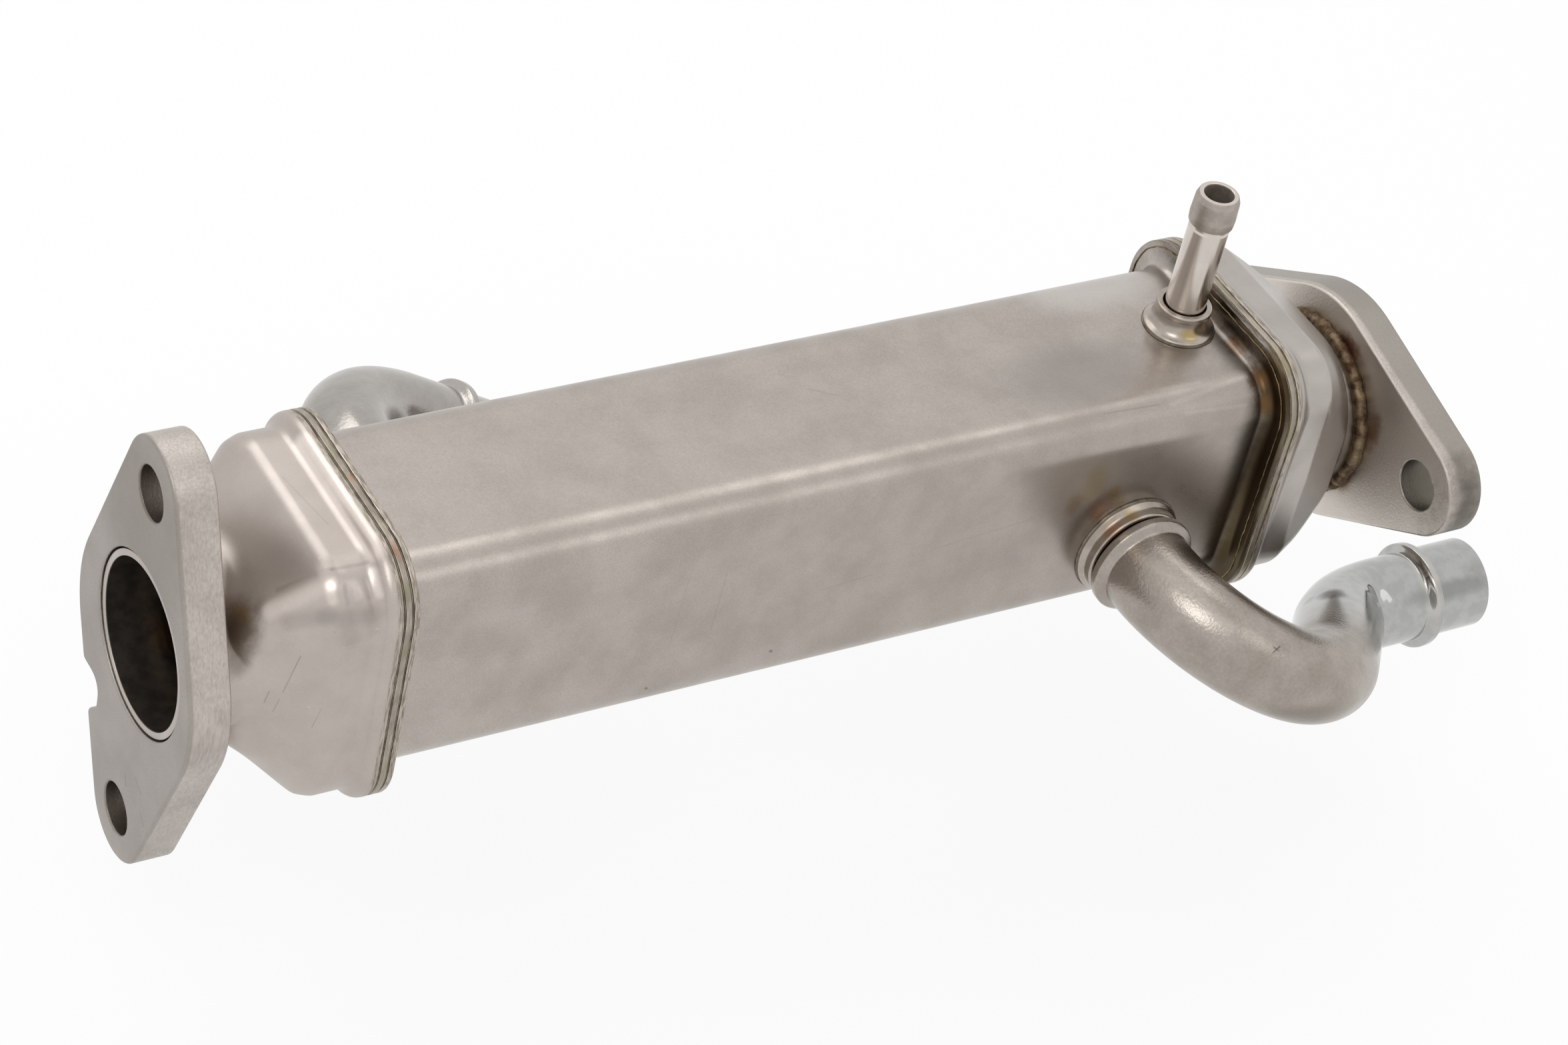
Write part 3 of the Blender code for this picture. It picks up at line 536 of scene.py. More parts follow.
@dataclass(frozen=True)
class TintAndPaintedLight:
    """A soft patch of colour over steel, in millimetres: the oxide that brazing or welding leaves,
    and also painted shade and painted highlights.
    """

    centre: Place
    reach: Place
    colour: str
    strength: float
    ragged: float = 0.35
    core: float = 0.25

    def lay(self, surface: Surface) -> None:
        """Lay the patch over a surface's colour."""
        nodes = surface.nodes
        moved = nodes.vector("SUBTRACT", surface.place, tuple(c * MM for c in self.centre))
        scaled = nodes.vector("MULTIPLY", moved, tuple(1 / (r * MM) for r in self.reach))
        far = nodes.vector("LENGTH", scaled, output="Value")
        broken = nodes.math("MULTIPLY_ADD", surface.ragged, 2 * self.ragged, -self.ragged)
        mask = nodes.ramp(nodes.math("ADD", far, broken), (1.0, self.core), (0.0, self.strength),
                          smooth=True)
        surface.colour = nodes.blend(mask, surface.colour, hex_to_linear(self.colour))


@dataclass(frozen=True)
class ScratchAndPaintedLight:
    """A single line of changed colour between two places, in millimetres: a scratch or rub mark,
    and also painted highlights and painted shade along folds, crests and dents.
    """

    start: Place
    end: Place
    width: float = 0.22
    shade: float = 0.62
    core: float = 0.2

    def lay(self, surface: Surface) -> None:
        """Draw the line over a surface's colour, darker where its shade is below 1 and lighter, as
        a painted highlight, where it is above 1.
        """
        nodes = surface.nodes
        first = Vector(self.start) * MM
        run = Vector(self.end) * MM - first
        off = nodes.vector("SUBTRACT", surface.place, tuple(first))
        along = nodes.vector("DOT_PRODUCT", off, tuple(run), output="Value")
        share = nodes.math("MULTIPLY", along, 1 / run.length_squared, clamp=True)
        gap = nodes.vector("DISTANCE", off, nodes.scaled(tuple(run), share), output="Value")
        gain = nodes.ramp(gap, (self.core * self.width * MM, self.width * MM), (self.shade, 1.0),
                          smooth=True)
        surface.colour = nodes.scaled(surface.colour, gain)


@dataclass(frozen=True)
class Change:
    """How a steel looks where its mesh's attribute is 1: sooted, sheared in layers or smooth."""

    attribute: str
    light: str
    dark: str
    roughness: float
    layer_pitch: float = 0.0
    calm: float = 0.0
    metal: float = 1.0
    patch: float = 3.0

    def lay(self, surface: Surface) -> None:
        """Change the surface where the attribute says so."""
        nodes = surface.nodes
        amount = nodes.attribute(self.attribute)
        grain = Grain.ACROSS_X if self.layer_pitch > 0 else Grain.EVEN
        layers = nodes.noise(nodes.mapped(surface.place, grain.value),
                             self.layer_pitch or self.patch, 3.0, 0.6)
        tone = nodes.ramp(layers, (0.38, 0.62), smooth=True)
        other = nodes.blend(tone, hex_to_linear(self.dark), hex_to_linear(self.light))
        surface.colour = nodes.blend(amount, surface.colour, other)
        surface.sheen = nodes.between(amount, surface.sheen, self.roughness)
        if self.calm > 0:
            left = nodes.math("MULTIPLY_ADD", amount, -self.calm, 1.0)
            surface.height = nodes.math("MULTIPLY", surface.height, left)
        if self.metal < 1:
            surface.metal = nodes.math("MULTIPLY_ADD", amount, self.metal - 1, 1.0)


@dataclass(frozen=True)
class SteelFinish:
    """One procedural stainless steel: satin, blasted, turned or tube, with its marks and tints,
    which include painted shade and painted highlights.

    Sizes are in millimetres. Grit and pits finer than about 0.3 mm wouldn't show, so they are drawn
    as coarse as that.
    """

    name: str
    light: str
    dark: str
    roughness: float
    roughness_spread: float = 0.05
    mottle: float = 12.0
    grit: float = 0.35
    grit_depth: float = 0.010
    speckle: float = 0.03
    grain: Grain = Grain.EVEN
    side_grain: Grain | None = None
    scratch_share: float = 0.0
    scratch_pitch: float = 0.7
    scratch_depth: float = 0.006
    pit_spacing: float = 7.0
    pit_size: float = 0.30
    pit_depth: float = 0.0
    pit_shade: float = 0.35
    wave: float = 16.0
    wave_depth: float = 0.05
    ragged: float = 2.6
    tints_and_painted_light: tuple[TintAndPaintedLight, ...] = ()
    scratches_and_painted_light: tuple[ScratchAndPaintedLight, ...] = ()
    changes: tuple[Change, ...] = ()

    def build(self) -> Material:
        """Build the material.

        Returns:
            The new material.
        """
        material = bpy.data.materials.new(self.name)
        material.use_nodes = True
        nodes = Nodes(material.node_tree)
        where = add_node(nodes.tree, "ShaderNodeTexCoord").outputs
        place = where["Object"]
        mottle = nodes.noise(place, self.mottle, 5.0, 0.58)
        base = nodes.blend(nodes.ramp(mottle, (0.3, 0.7), smooth=True), hex_to_linear(self.dark),
                           hex_to_linear(self.light))
        grit = self._grit(nodes, place, where["Normal"])
        speckle = nodes.ramp(grit, (0.3, 0.7), (1 - self.speckle, 1 + self.speckle))
        half = self.roughness_spread / 2
        sheen = nodes.ramp(mottle, (0.3, 0.7), (self.roughness + half, self.roughness - half))
        grains = nodes.math("MULTIPLY", grit, self.grit_depth * MM)
        height = nodes.math("MULTIPLY_ADD", nodes.noise(place, self.wave, 1.0),
                            self.wave_depth * MM, grains)
        surface = Surface(nodes, place, nodes.noise(place, self.ragged, 4.0, 0.65),
                          nodes.scaled(base, speckle), sheen, height)
        if self.pit_depth > 0:
            self._pits(surface)
        if self.scratch_share > 0:
            self._scratches(surface)
        for layer in (*self.changes, *self.tints_and_painted_light, *self.scratches_and_painted_light):
            layer.lay(surface)
        bump = add_node(nodes.tree, "ShaderNodeBump",
                        {"Height": surface.height, "Strength": 1.0, "Distance": 1.0})
        set_inputs(nodes.tree.nodes["Principled BSDF"],
                   {"Metallic": surface.metal, "Base Color": surface.colour,
                    "Roughness": surface.sheen, "Normal": bump.outputs[0]})
        return material

    def _grit(self, nodes: Nodes, place: Socket, normal: Socket) -> Socket:
        """The finest marks, with another lay on a plate's side walls where the finish has one."""
        found = [nodes.noise(nodes.mapped(place, grain.value), self.grit, 2.5, 0.6)
                 for grain in (self.grain, self.side_grain) if grain is not None]
        if len(found) == 1:
            return found[0]
        parts = add_node(nodes.tree, "ShaderNodeSeparateXYZ", {0: normal})
        facing = nodes.math("ABSOLUTE", parts.outputs["X"])
        return nodes.between(nodes.ramp(facing, (0.75, 0.35)), *found)

    def _pits(self, surface: Surface) -> None:
        """Sink small dark pits into the surface."""
        nodes = surface.nodes
        cells = add_node(nodes.tree, "ShaderNodeTexVoronoi",
                         {"Vector": surface.place, "Scale": 1 / (self.pit_spacing * MM)})
        edge = nodes.math("MULTIPLY", surface.ragged, 2 * self.pit_size / self.pit_spacing)
        depth = nodes.ramp(cells.outputs["Distance"], (edge, 0.0), smooth=True)
        surface.height = nodes.math("MULTIPLY_ADD", depth, -self.pit_depth * MM, surface.height)
        shade = nodes.math("MULTIPLY_ADD", depth, -self.pit_shade, 1.0)
        surface.colour = nodes.scaled(surface.colour, shade)

    def _scratches(self, surface: Surface) -> None:
        """Draw fine scratches in three directions, each a little lighter or darker."""
        nodes = surface.nodes
        for turn, gain in (((0.35, 0.2, 0.5), 0.14), ((1.1, 0.9, 0.1), -0.12),
                           ((0.2, 1.9, 1.3), 0.10)):
            lines = nodes.noise(nodes.mapped(surface.place, (0.035, 1.0, 1.0), turn),
                                self.scratch_pitch, 1.0)
            mark = nodes.ramp(lines, (0.80 - self.scratch_share, 0.84 - self.scratch_share))
            bright = nodes.math("MULTIPLY_ADD", mark, gain, 1.0)
            surface.colour = nodes.scaled(surface.colour, bright)
            surface.height = nodes.math("MULTIPLY_ADD", mark, -self.scratch_depth * MM,
                                        surface.height)


# Geometry Nodes

def start_tree(name: str, inputs: dict[str, str]) -> tuple[Nodes, bpy.types.NodeOutputs]:
    """Start a Geometry Nodes tree that takes a geometry and a finish.

    Args:
        name: The tree's name.
        inputs: The socket type of each other input.

    Returns:
        The tree's nodes, and what it is given.
    """
    tree = bpy.data.node_groups.new(name, "GeometryNodeTree")
    sockets = [("Geometry", "INPUT", "Geometry")]
    sockets += [(label, "INPUT", kind) for label, kind in inputs.items()]
    sockets += [("Finish", "INPUT", "Material"), ("Geometry", "OUTPUT", "Geometry")]
    for label, way, kind in sockets:
        tree.interface.new_socket(name=label, in_out=way, socket_type="NodeSocket" + kind)
    return Nodes(tree), tree.nodes.new("NodeGroupInput").outputs


def end_tree(tree: Tree, geometry: Socket, finish: Socket) -> Tree:
    """End a tree in Realize Instances and Set Material, and give it back."""
    whole = add_node(tree, "GeometryNodeRealizeInstances", {"Geometry": geometry})
    dressed = add_node(tree, "GeometryNodeSetMaterial",
                       {"Geometry": whole.outputs[0], "Material": finish})
    add_node(tree, "NodeGroupOutput", {0: dressed.outputs[0]})
    return tree


def run_tree(thing: Thing, tree: Tree, values: dict[str, object]) -> Thing:
    """Run a Geometry Nodes tree on an object and bake what it makes.

    Args:
        thing: The object.
        tree: The tree.
        values: The value of each input, by its name.

    Returns:
        A plain mesh object.
    """
    modifier = link(thing).modifiers.new(tree.name, "NODES")
    modifier.node_group = tree
    for name, value in values.items():
        modifier[tree.interface.items_tree[name].identifier] = value
    return bake(thing)


def bead_tree() -> Tree:
    """The tree that lays a rippled, uneven bead of braze or weld along a curve."""
    names = ("Thickness", "Step", "Ripple Pitch", "Ripple Depth", "Ragged Size", "Ragged Depth",
             "Wander", "Seed")
    nodes, given = start_tree("bead_along_seam", dict.fromkeys(names, "Float"))
    tree = nodes.tree
    line = add_node(tree, "GeometryNodeResampleCurve",
                    {"Curve": given["Geometry"], "Length": given["Step"]}, mode="LENGTH")
    noise = add_node(tree, "ShaderNodeTexNoise",
                     {"Vector": add_node(tree, "GeometryNodeInputPosition").outputs[0],
                      "W": given["Seed"], "Scale": nodes.math("DIVIDE", 1.0, given["Ragged Size"]),
                      "Detail": 3.0}, noise_dimensions="4D").outputs
    drift = nodes.scaled(nodes.vector("SUBTRACT", noise["Color"], (0.5, 0.5, 0.5)), given["Wander"])
    moved = add_node(tree, "GeometryNodeSetPosition",
                     {"Geometry": line.outputs[0], "Offset": drift})
    length = add_node(tree, "GeometryNodeSplineParameter").outputs["Length"]
    phase = nodes.math("MULTIPLY", nodes.math("DIVIDE", length, given["Ripple Pitch"]), math.pi)
    hump = nodes.math("ABSOLUTE", nodes.math("SINE", phase))
    ripple = nodes.math("MULTIPLY_ADD", hump, given["Ripple Depth"],
                        nodes.math("SUBTRACT", 1.0, given["Ripple Depth"]))
    uneven = nodes.math("MULTIPLY_ADD", nodes.math("SUBTRACT", noise[0], 0.5),
                        given["Ragged Depth"], 1.0)
    radius = nodes.math("MULTIPLY", nodes.math("MULTIPLY", ripple, uneven), given["Thickness"])
    sized = add_node(tree, "GeometryNodeSetCurveRadius",
                     {"Curve": moved.outputs[0], "Radius": radius})
    profile = add_node(tree, "GeometryNodeCurvePrimitiveCircle", {"Resolution": 14, "Radius": 1.0})
    bead = add_node(tree, "GeometryNodeCurveToMesh",
                    {"Curve": sized.outputs[0], "Profile Curve": profile.outputs[0],
                     "Scale": radius, "Fill Caps": True})
    return end_tree(tree, bead.outputs[0], given["Finish"])


def bundle_tree() -> Tree:
    """The tree that repeats one gas tube in columns and rows."""
    nodes, given = start_tree("tube_bundle", {"Width": "Float", "Height": "Float",
                                              "Columns": "Int", "Rows": "Int"})
    tree = nodes.tree
    grid = add_node(tree, "GeometryNodeMeshGrid",
                    {"Size X": given["Width"], "Size Y": given["Height"],
                     "Vertices X": given["Columns"], "Vertices Y": given["Rows"]})
    upright = add_node(tree, "GeometryNodeTransform",
                       {"Geometry": grid.outputs[0], "Rotation": (math.pi / 2, 0.0, math.pi / 2)})
    placed = add_node(tree, "GeometryNodeInstanceOnPoints",
                      {"Points": upright.outputs[0], "Instance": given["Geometry"]})
    return end_tree(tree, placed.outputs[0], given["Finish"])


@dataclass
class Bead:
    """A thin bead of braze or weld along a closed seam."""

    name: str
    path: np.ndarray
    thickness: float
    ripple_pitch: float = 0.0015
    ripple_depth: float = 0.0
    ragged_size: float = 0.0025
    ragged_depth: float = 1.0
    wander: float = 0.0
    seed: float = 1.0
    step: float = 0.0003
    sharp: float = 80.0

    def build(self, tree: Tree, material: Material) -> Thing:
        """Lay the bead.

        Args:
            tree: The bead's Geometry Nodes tree.
            material: Its finish.

        Returns:
            The finished piece.
        """
        values = {"Thickness": self.thickness, "Step": self.step,
                  "Ripple Pitch": self.ripple_pitch, "Ripple Depth": self.ripple_depth,
                  "Ragged Size": self.ragged_size, "Ragged Depth": self.ragged_depth,
                  "Wander": self.wander, "Seed": self.seed, "Finish": material}
        bead = run_tree(polylines(self.name, [self.path], "3D"), tree, values)
        return finish_piece(bead, material, sharp=self.sharp)


# Sub-assemblies

@dataclass
class Shell:
    """The rounded square shell, with its flanged ends and the holes for its fittings."""

    end_bend: float = 0.0022
    edge_round: float = 0.00028
    bend_steps: int = 10
    stations: int = 90
    pipe_hole: float = 0.0095
    nipple_hole: float = 0.0043
    hole_reach: float = 0.006

    def profile(self) -> list[Pair]:
        """Places along X and growths along the outside, from rim to rim."""
        first = PLAN.shell_start + PLAN.shell_wall
        last = PLAN.shell_end - PLAN.shell_wall
        corners = [(first, PLAN.rim_overhang), (first, 0.0), (last, 0.0), (last, PLAN.rim_overhang)]
        path = filleted(corners, [0, self.end_bend, self.end_bend, 0], self.bend_steps)
        half = len(path) // 2
        run = np.linspace(path[half - 1][0], path[half][0], self.stations + 2)[1:-1]
        return path[:half] + [(x, 0.0) for x in run.tolist()] + path[half:]

    def build(self, material: Material) -> Thing:
        """Build the shell.

        Args:
            material: Its finish.

        Returns:
            The finished shell.
        """
        outside = np.stack([ring_at(x, shell_section(g)) for x, g in self.profile()])
        inside = (outside - sheet_normals(outside) * PLAN.shell_wall)[::-1][1:-1]
        near = self._rim_edge(PLAN.shell_start, 1)
        far = self._rim_edge(PLAN.shell_end, -1)[::-1]
        grid = np.concatenate([near, outside[1:-1], far, inside])
        sheared = np.zeros(len(grid))
        for first in (0, len(near) + len(outside) - 2):
            sheared[first + 1:first + len(near) - 1] = 1.0
        shell = ring_mesh("shell_skin", grid, {"sheared": sheared})
        holes = (("front_hole", FRONT_SEAT, -Y_AXIS, self.pipe_hole),
                 ("rear_hole", REAR_SEAT, Y_AXIS, self.pipe_hole),
                 ("nipple_hole", NIPPLE_SEAT, Z_AXIS, self.nipple_hole))
        for name, seat, outwards, radius in holes:
            cut(shell, name, seat, outwards, radius, self.hole_reach)
        return finish_piece(bake(shell), material, ("shell",))

    def _rim_edge(self, place: float, into: int) -> np.ndarray:
        """The rounded edge of a flanged end, from its outer face round to the shell's side.

        Args:
            place: Where the outer face is along X.
            into: Which way along X the shell's side lies.

        Returns:
            Rings of points.
        """
        edge = soft_edge(self.edge_round)
        profile = [(x, PLAN.rim_overhang - drop) for x, drop in edge]
        profile += [(PLAN.shell_wall - x, PLAN.rim_overhang - drop) for x, drop in edge[::-1]]
        return np.stack([ring_at(place + into * x, shell_section(growth)) for x, growth in profile])


@dataclass
class TubeBundle:
    """The gas tubes and the two tube sheets that hold them."""

    columns: int = 4
    rows: int = 4
    gap: float = 0.0022
    margin: float = 0.0016
    tube_wall: float = 0.0005
    standout: float = 0.0010
    sheet_round: float = 0.0002

    @property
    def tube_radius(self) -> float:
        """The radius that lets the columns stand a gap apart."""
        room = PLAN.shell_width - 2 * PLAN.shell_wall - 2 * self.margin
        return (room - (self.columns - 1) * self.gap) / self.columns / 2

    @property
    def spans(self) -> Pair:
        """The width and the height between the outermost tubes' middles."""
        inset = 2 * (PLAN.shell_wall + self.margin + self.tube_radius)
        return PLAN.shell_width - inset, PLAN.shell_height - inset

    def build(self, tree: Tree, tube_steel: Material, sheet_steel: Material) -> None:
        """Build the bundle and its sheets.

        Args:
            tree: The Geometry Nodes tree that repeats a tube.
            tube_steel: The tubes' finish.
            sheet_steel: The sheets' finish.
        """
        start = PLAN.inlet_sheet - self.standout
        length = PLAN.outlet_sheet + PLAN.tube_sheet + self.standout - start
        bore = self.tube_radius - self.tube_wall
        profile = [(self.tube_radius, length), (self.tube_radius, 0), (bore, 0), (bore, length)]
        tube = ring_mesh("gas_tubes",
                         turned_grid(profile, Vector((start, 0, 0)), X_AXIS, TUBE_AROUND))
        width, height = self.spans
        bundle = run_tree(tube, tree, {"Width": width, "Height": height, "Columns": self.columns,
                                       "Rows": self.rows, "Finish": tube_steel})
        nodes = ["gas_tube_%d_%d" % (column, row) for column in range(1, self.columns + 1)
                 for row in range(1, self.rows + 1)]
        finish_piece(bundle, tube_steel, nodes)
        self._sheet("inlet_tube_sheet", PLAN.inlet_sheet, sheet_steel)
        self._sheet("outlet_tube_sheet", PLAN.outlet_sheet, sheet_steel)

    def _sheet(self, name: str, place: float, material: Material) -> None:
        """Build one tube sheet.

        Args:
            name: The CAD node it stands for.
            place: Where it starts along X.
            material: Its finish.
        """
        width, height = self.spans
        hole = circle(TUBE_AROUND) * (self.tube_radius + PLAN.seam)
        outlines = [shell_section(PLAN.rim_overhang - self.sheet_round)]
        outlines += [hole + (y, z) for y in np.linspace(-width / 2, width / 2, self.columns)
                     for z in np.linspace(-height / 2, height / 2, self.rows)]
        paths = [np.column_stack([outline, np.zeros(len(outline))]) for outline in outlines]
        thing = polylines(name + "_plate", paths, "2D")
        thing.data.fill_mode = "BOTH"
        thing.data.extrude = PLAN.tube_sheet / 2 - self.sheet_round
        thing.data.bevel_depth = self.sheet_round
        thing.data.bevel_resolution = 2
        thing = bake(thing)
        middle = place + PLAN.tube_sheet / 2
        thing.data.transform(Matrix(((0, 0, 1, middle), (1, 0, 0, 0), (0, 1, 0, 0), (0, 0, 0, 1))))
        weld(thing)
        finish_piece(thing, material, (name,))


@dataclass
class Header:
    """What both stamped headers share: the joggle at the rim, the wall and the spigot."""

    node: str
    rim: float
    forward: int
    neck_radius: float
    spigot_start: float
    spigot_end: float
    steps: int = 12
    spigot_step: float = 0.0006
    edge_round: float = 0.0003
    sheared_skirt: float = 0.0008
    sheared_fade: float = 0.0006

    @property
    def body_start(self) -> float:
        """Where the square body starts along X."""
        return self.rim + self.forward * (PLAN.rim_skirt + PLAN.joggle_length)

    def joggle(self) -> list[np.ndarray]:
        """The rings where the rim draws in to the body, after the rim's own edge."""
        crest, valley = PLAN.joggle_crest, PLAN.joggle_valley
        turns = [PLAN.joggle_lean * k / self.steps for k in range(self.steps + 1)]
        end = PLAN.rim_skirt + PLAN.joggle_length
        over = [(PLAN.rim_skirt + crest * math.sin(a),
                 PLAN.rim_overhang - crest * (1 - math.cos(a))) for a in turns]
        under = [(end - valley * math.sin(a), PLAN.body_growth + valley * (1 - math.cos(a)))
                 for a in reversed(turns)]
        return [ring_at(self.rim + self.forward * d, shell_section(growth))
                for d, growth in over[1:] + under[1:]]

    def build(self, rings: list[np.ndarray], centre: Pair, material: Material) -> Thing:
        """Give the outside its thickness and its spigot, and close it.

        Args:
            rings: The outside's rings, from the rim to the back of the flange.
            centre: The neck's middle in YZ.
            material: Its finish.

        Returns:
            The finished header.
        """
        outside = np.stack(rings)
        inside = outside - sheet_normals(outside) * PLAN.header_wall
        edge = soft_edge(self.edge_round)
        first = [ring_at(self.rim + self.forward * x, shell_section(PLAN.rim_overhang - drop))
                 for x, drop in edge]
        spigot = self.neck_radius - self.spigot_step
        bore = self.neck_radius - PLAN.header_wall
        tip = [(self.spigot_start, spigot)]
        tip += [(self.spigot_end - self.forward * x, spigot - drop) for x, drop in edge[::-1]]
        tip += [(self.spigot_end - self.forward * x, bore + drop) for x, drop in edge]
        end = [ring_at(x, circle() * radius + centre) for x, radius in tip]
        last = ring_at(self.rim, shell_section(PLAN.rim_overhang - PLAN.header_wall))
        grid = np.concatenate([np.stack(first), outside, np.stack(end), inside[::-1], last[None]])
        sheared, sooted = np.zeros((2, len(grid)))
        outer_end = len(first) + len(outside)
        off = np.abs(outside[:, 0, 0] - self.rim)
        sheared[:len(first)] = 1.0
        fade = smooth_step((off - self.sheared_skirt) / self.sheared_fade)
        sheared[len(first):outer_end] = 1 - fade
        sooted[outer_end + len(end) - 1:] = 1.0
        skin = ring_mesh(self.node + "_skin", grid, {"sheared": sheared, "sooted": sooted})
        return finish_piece(skin, material, (self.node,))


@dataclass(frozen=True)
class Ridge:
    """A blunt fold that the press pushed up between two places, in millimetres."""

    start: Place
    end: Place
    width: float
    height: float

    def lift(self, place: np.ndarray) -> np.ndarray:
        """How far it stands out at each of an array of points, in millimetres."""
        run = np.array(self.end) - self.start
        share = np.clip((place - self.start) @ run / (run @ run), 0, 1)
        gap = np.linalg.norm(place - self.start - share[:, None] * run, axis=-1)
        return self.height * np.exp(-(gap / self.width) ** 4)


@dataclass(frozen=True)
class Folds:
    """Shallow press wrinkles that fade out round a place, in millimetres."""

    middle: Place = (29.0, -22.3, 22.6)
    reach: Place = (5.8, 4.2, 4.2)
    across: Place = (0.98, 0.0, 0.20)
    pitch: float = 4.15
    depth: float = 0.22

    def lift(self, place: np.ndarray) -> np.ndarray:
        """How far they stand out at each of an array of points, in millimetres."""
        off = place - np.array(self.middle)
        fade = np.exp(-((off / np.array(self.reach)) ** 2).sum(axis=-1))
        return fade * np.cos((off @ np.array(self.across)) * math.tau / self.pitch) * self.depth


@dataclass
class InletHeader:
    """The inlet header: a cone with four flat sides, out of which the round neck comes."""

    cone_start: float = 0.0250
    neck_start: float = 0.0086
    neck_end: float = 0.0080
    neck_radius: float = 0.0176
    spigot_end: float = 0.0004
    slope: float = math.radians(33.6)
    corner: float = 0.0080
    bend: float = 0.0012
    blend: float = 0.0020
    body_rings: int = 12
    bend_rings: int = 16
    stations: int = 60
    square_by: float = 1.5
    widest_corner: float = 0.98
    marks: tuple = (Folds(), Ridge((16.0, -15.4, 17.8), (25.0, -19.6, 25.2), 2.4, 0.34))

    def cone_ring(self, distance: float) -> np.ndarray:
        """The outline at a distance past the body's bend.

        Args:
            distance: How far towards the neck, in metres.

        Returns:
            YZ points.
        """
        drawn = max(distance, 0.0)
        if abs(distance) < self.bend:
            drawn = (distance + self.bend) ** 2 / (4 * self.bend)
        along = drawn / (self.cone_start - self.neck_start)
        body_width, body_height, body_corner = PLAN.body
        half_width = body_width - drawn * math.tan(self.slope)
        taller = (body_height - body_width) * float(1 - smooth_step(along * self.square_by))
        half_height = half_width + taller
        rounding = float(smooth_step(drawn / (2 * self.bend)))
        corner = min(body_corner + (self.corner - body_corner) * rounding,
                     half_width * self.widest_corner, half_height * self.widest_corner)
        side = reach(half_width, half_height, corner)
        near = np.maximum(self.blend - np.abs(side - self.neck_radius), 0)
        near = near * float(1 - smooth_step(along * 3 - 2))
        radius = np.maximum(side, self.neck_radius) + near ** 2 / (4 * self.blend)
        return radius[:, None] * circle()

    def build(self, material: Material) -> Thing:
        """Build the header.

        Args:
            material: Its finish.

        Returns:
            The finished header.
        """
        base = Header("inlet_header", PLAN.inlet_rim, -1, self.neck_radius, self.neck_end,
                      self.spigot_end)
        body = np.linspace(base.body_start, self.cone_start + self.bend, self.body_rings)[1:-1]
        whole = self.cone_start - self.neck_start
        cone = np.concatenate([np.linspace(-self.bend, self.bend, self.bend_rings),
                               np.linspace(self.bend, whole, self.stations)[1:]]).tolist()
        rings = base.joggle()
        rings += [ring_at(x, shell_section(PLAN.body_growth)) for x in body]
        rings += [ring_at(self.cone_start - d, self.cone_ring(d)) for d in cone]
        rings.append(ring_at(self.neck_end, self.cone_ring(whole)))
        return base.build([self._pressed(ring) for ring in rings], (0.0, 0.0), material)

    def _pressed(self, ring: np.ndarray) -> np.ndarray:
        """Give a ring of points the folds that the press left in the upper front corner."""
        lift = sum(mark.lift(ring / MM) for mark in self.marks)
        radial = ring * (0, 1, 1)
        radial /= np.maximum(np.linalg.norm(radial, axis=-1, keepdims=True), 1e-9)
        return ring + radial * (lift * MM)[:, None]


@dataclass
class OutletHeader:
    """The outlet header: a shallow dome that leads to a round neck off the shell's axis."""

    dome_start: float = 0.23507
    neck_start: float = 0.24827
    flange_back: float = 0.25307
    face: float = 0.26107
    spigot_inset: float = 0.0004
    shoulder_along: float = 0.80
    shoulder_across: float = 0.58
    bends: Place = (0.0028, 0.0035, 0.0010)
    bend_steps: int = 12
    ring_pitch: float = 0.0004
    neck_radius: float = 0.0170
    shift: Pair = (-0.0019, -0.0018)
    corner_hold: float = 0.28

    def ring(self, place: float, half_width: float) -> np.ndarray:
        """One outline of the dome.

        Args:
            place: Where it is along X.
            half_width: How far its sides have drawn in.

        Returns:
            A ring of points.
        """
        body_width, body_height, body_corner = PLAN.body
        blend = (body_width - half_width) / (body_width - self.neck_radius)
        along = (place - self.dome_start) / (self.neck_start - self.dome_start)
        rounding = float(smooth_step((along - self.corner_hold) / (1 - self.corner_hold)))
        half_height = body_height + (self.neck_radius - body_height) * blend
        corner = min(body_corner + (self.neck_radius - body_corner) * rounding, half_width,
                     half_height)
        radius = reach(half_width, half_height, corner)
        centre = (self.shift[0] * blend, self.shift[1] * blend)
        return ring_at(place, radius[:, None] * circle() + centre)

    def build(self, material: Material) -> Thing:
        """Build the header.

        Args:
            material: Its finish.

        Returns:
            The finished header.
        """
        base = Header("outlet_header", PLAN.outlet_rim, 1, self.neck_radius, self.flange_back,
                      self.face - self.spigot_inset)
        width = PLAN.body[0]
        shoulder = (self.dome_start + self.shoulder_along * (self.neck_start - self.dome_start),
                    width + self.shoulder_across * (self.neck_radius - width))
        path = filleted([(base.body_start, width), (self.dome_start, width), shoulder,
                         (self.neck_start, self.neck_radius), (self.flange_back, self.neck_radius)],
                        [0, *self.bends, 0], self.bend_steps)
        rings = base.joggle()
        for (x0, w0), (x1, w1) in zip(path, path[1:]):
            count = max(1, round((x1 - x0) / self.ring_pitch))
            rings += [self.ring(x0 + (x1 - x0) * k / count, w0 + (w1 - w0) * k / count)
                      for k in range(1, count + 1)]
        return base.build(rings, self.shift, material)


def inside_polygon(points: np.ndarray, polygon: np.ndarray) -> np.ndarray:
    """Which of an array of points in a plane lie inside a polygon."""
    found = np.zeros(len(points), bool)
    for (x0, y0), (x1, y1) in zip(polygon, np.roll(polygon, -1, axis=0)):
        crosses = (y0 > points[:, 1]) != (y1 > points[:, 1])
        if abs(y1 - y0) > 1e-12:
            found ^= crosses & (points[:, 0] < x0 + (points[:, 1] - y0) * (x1 - x0) / (y1 - y0))
    return found


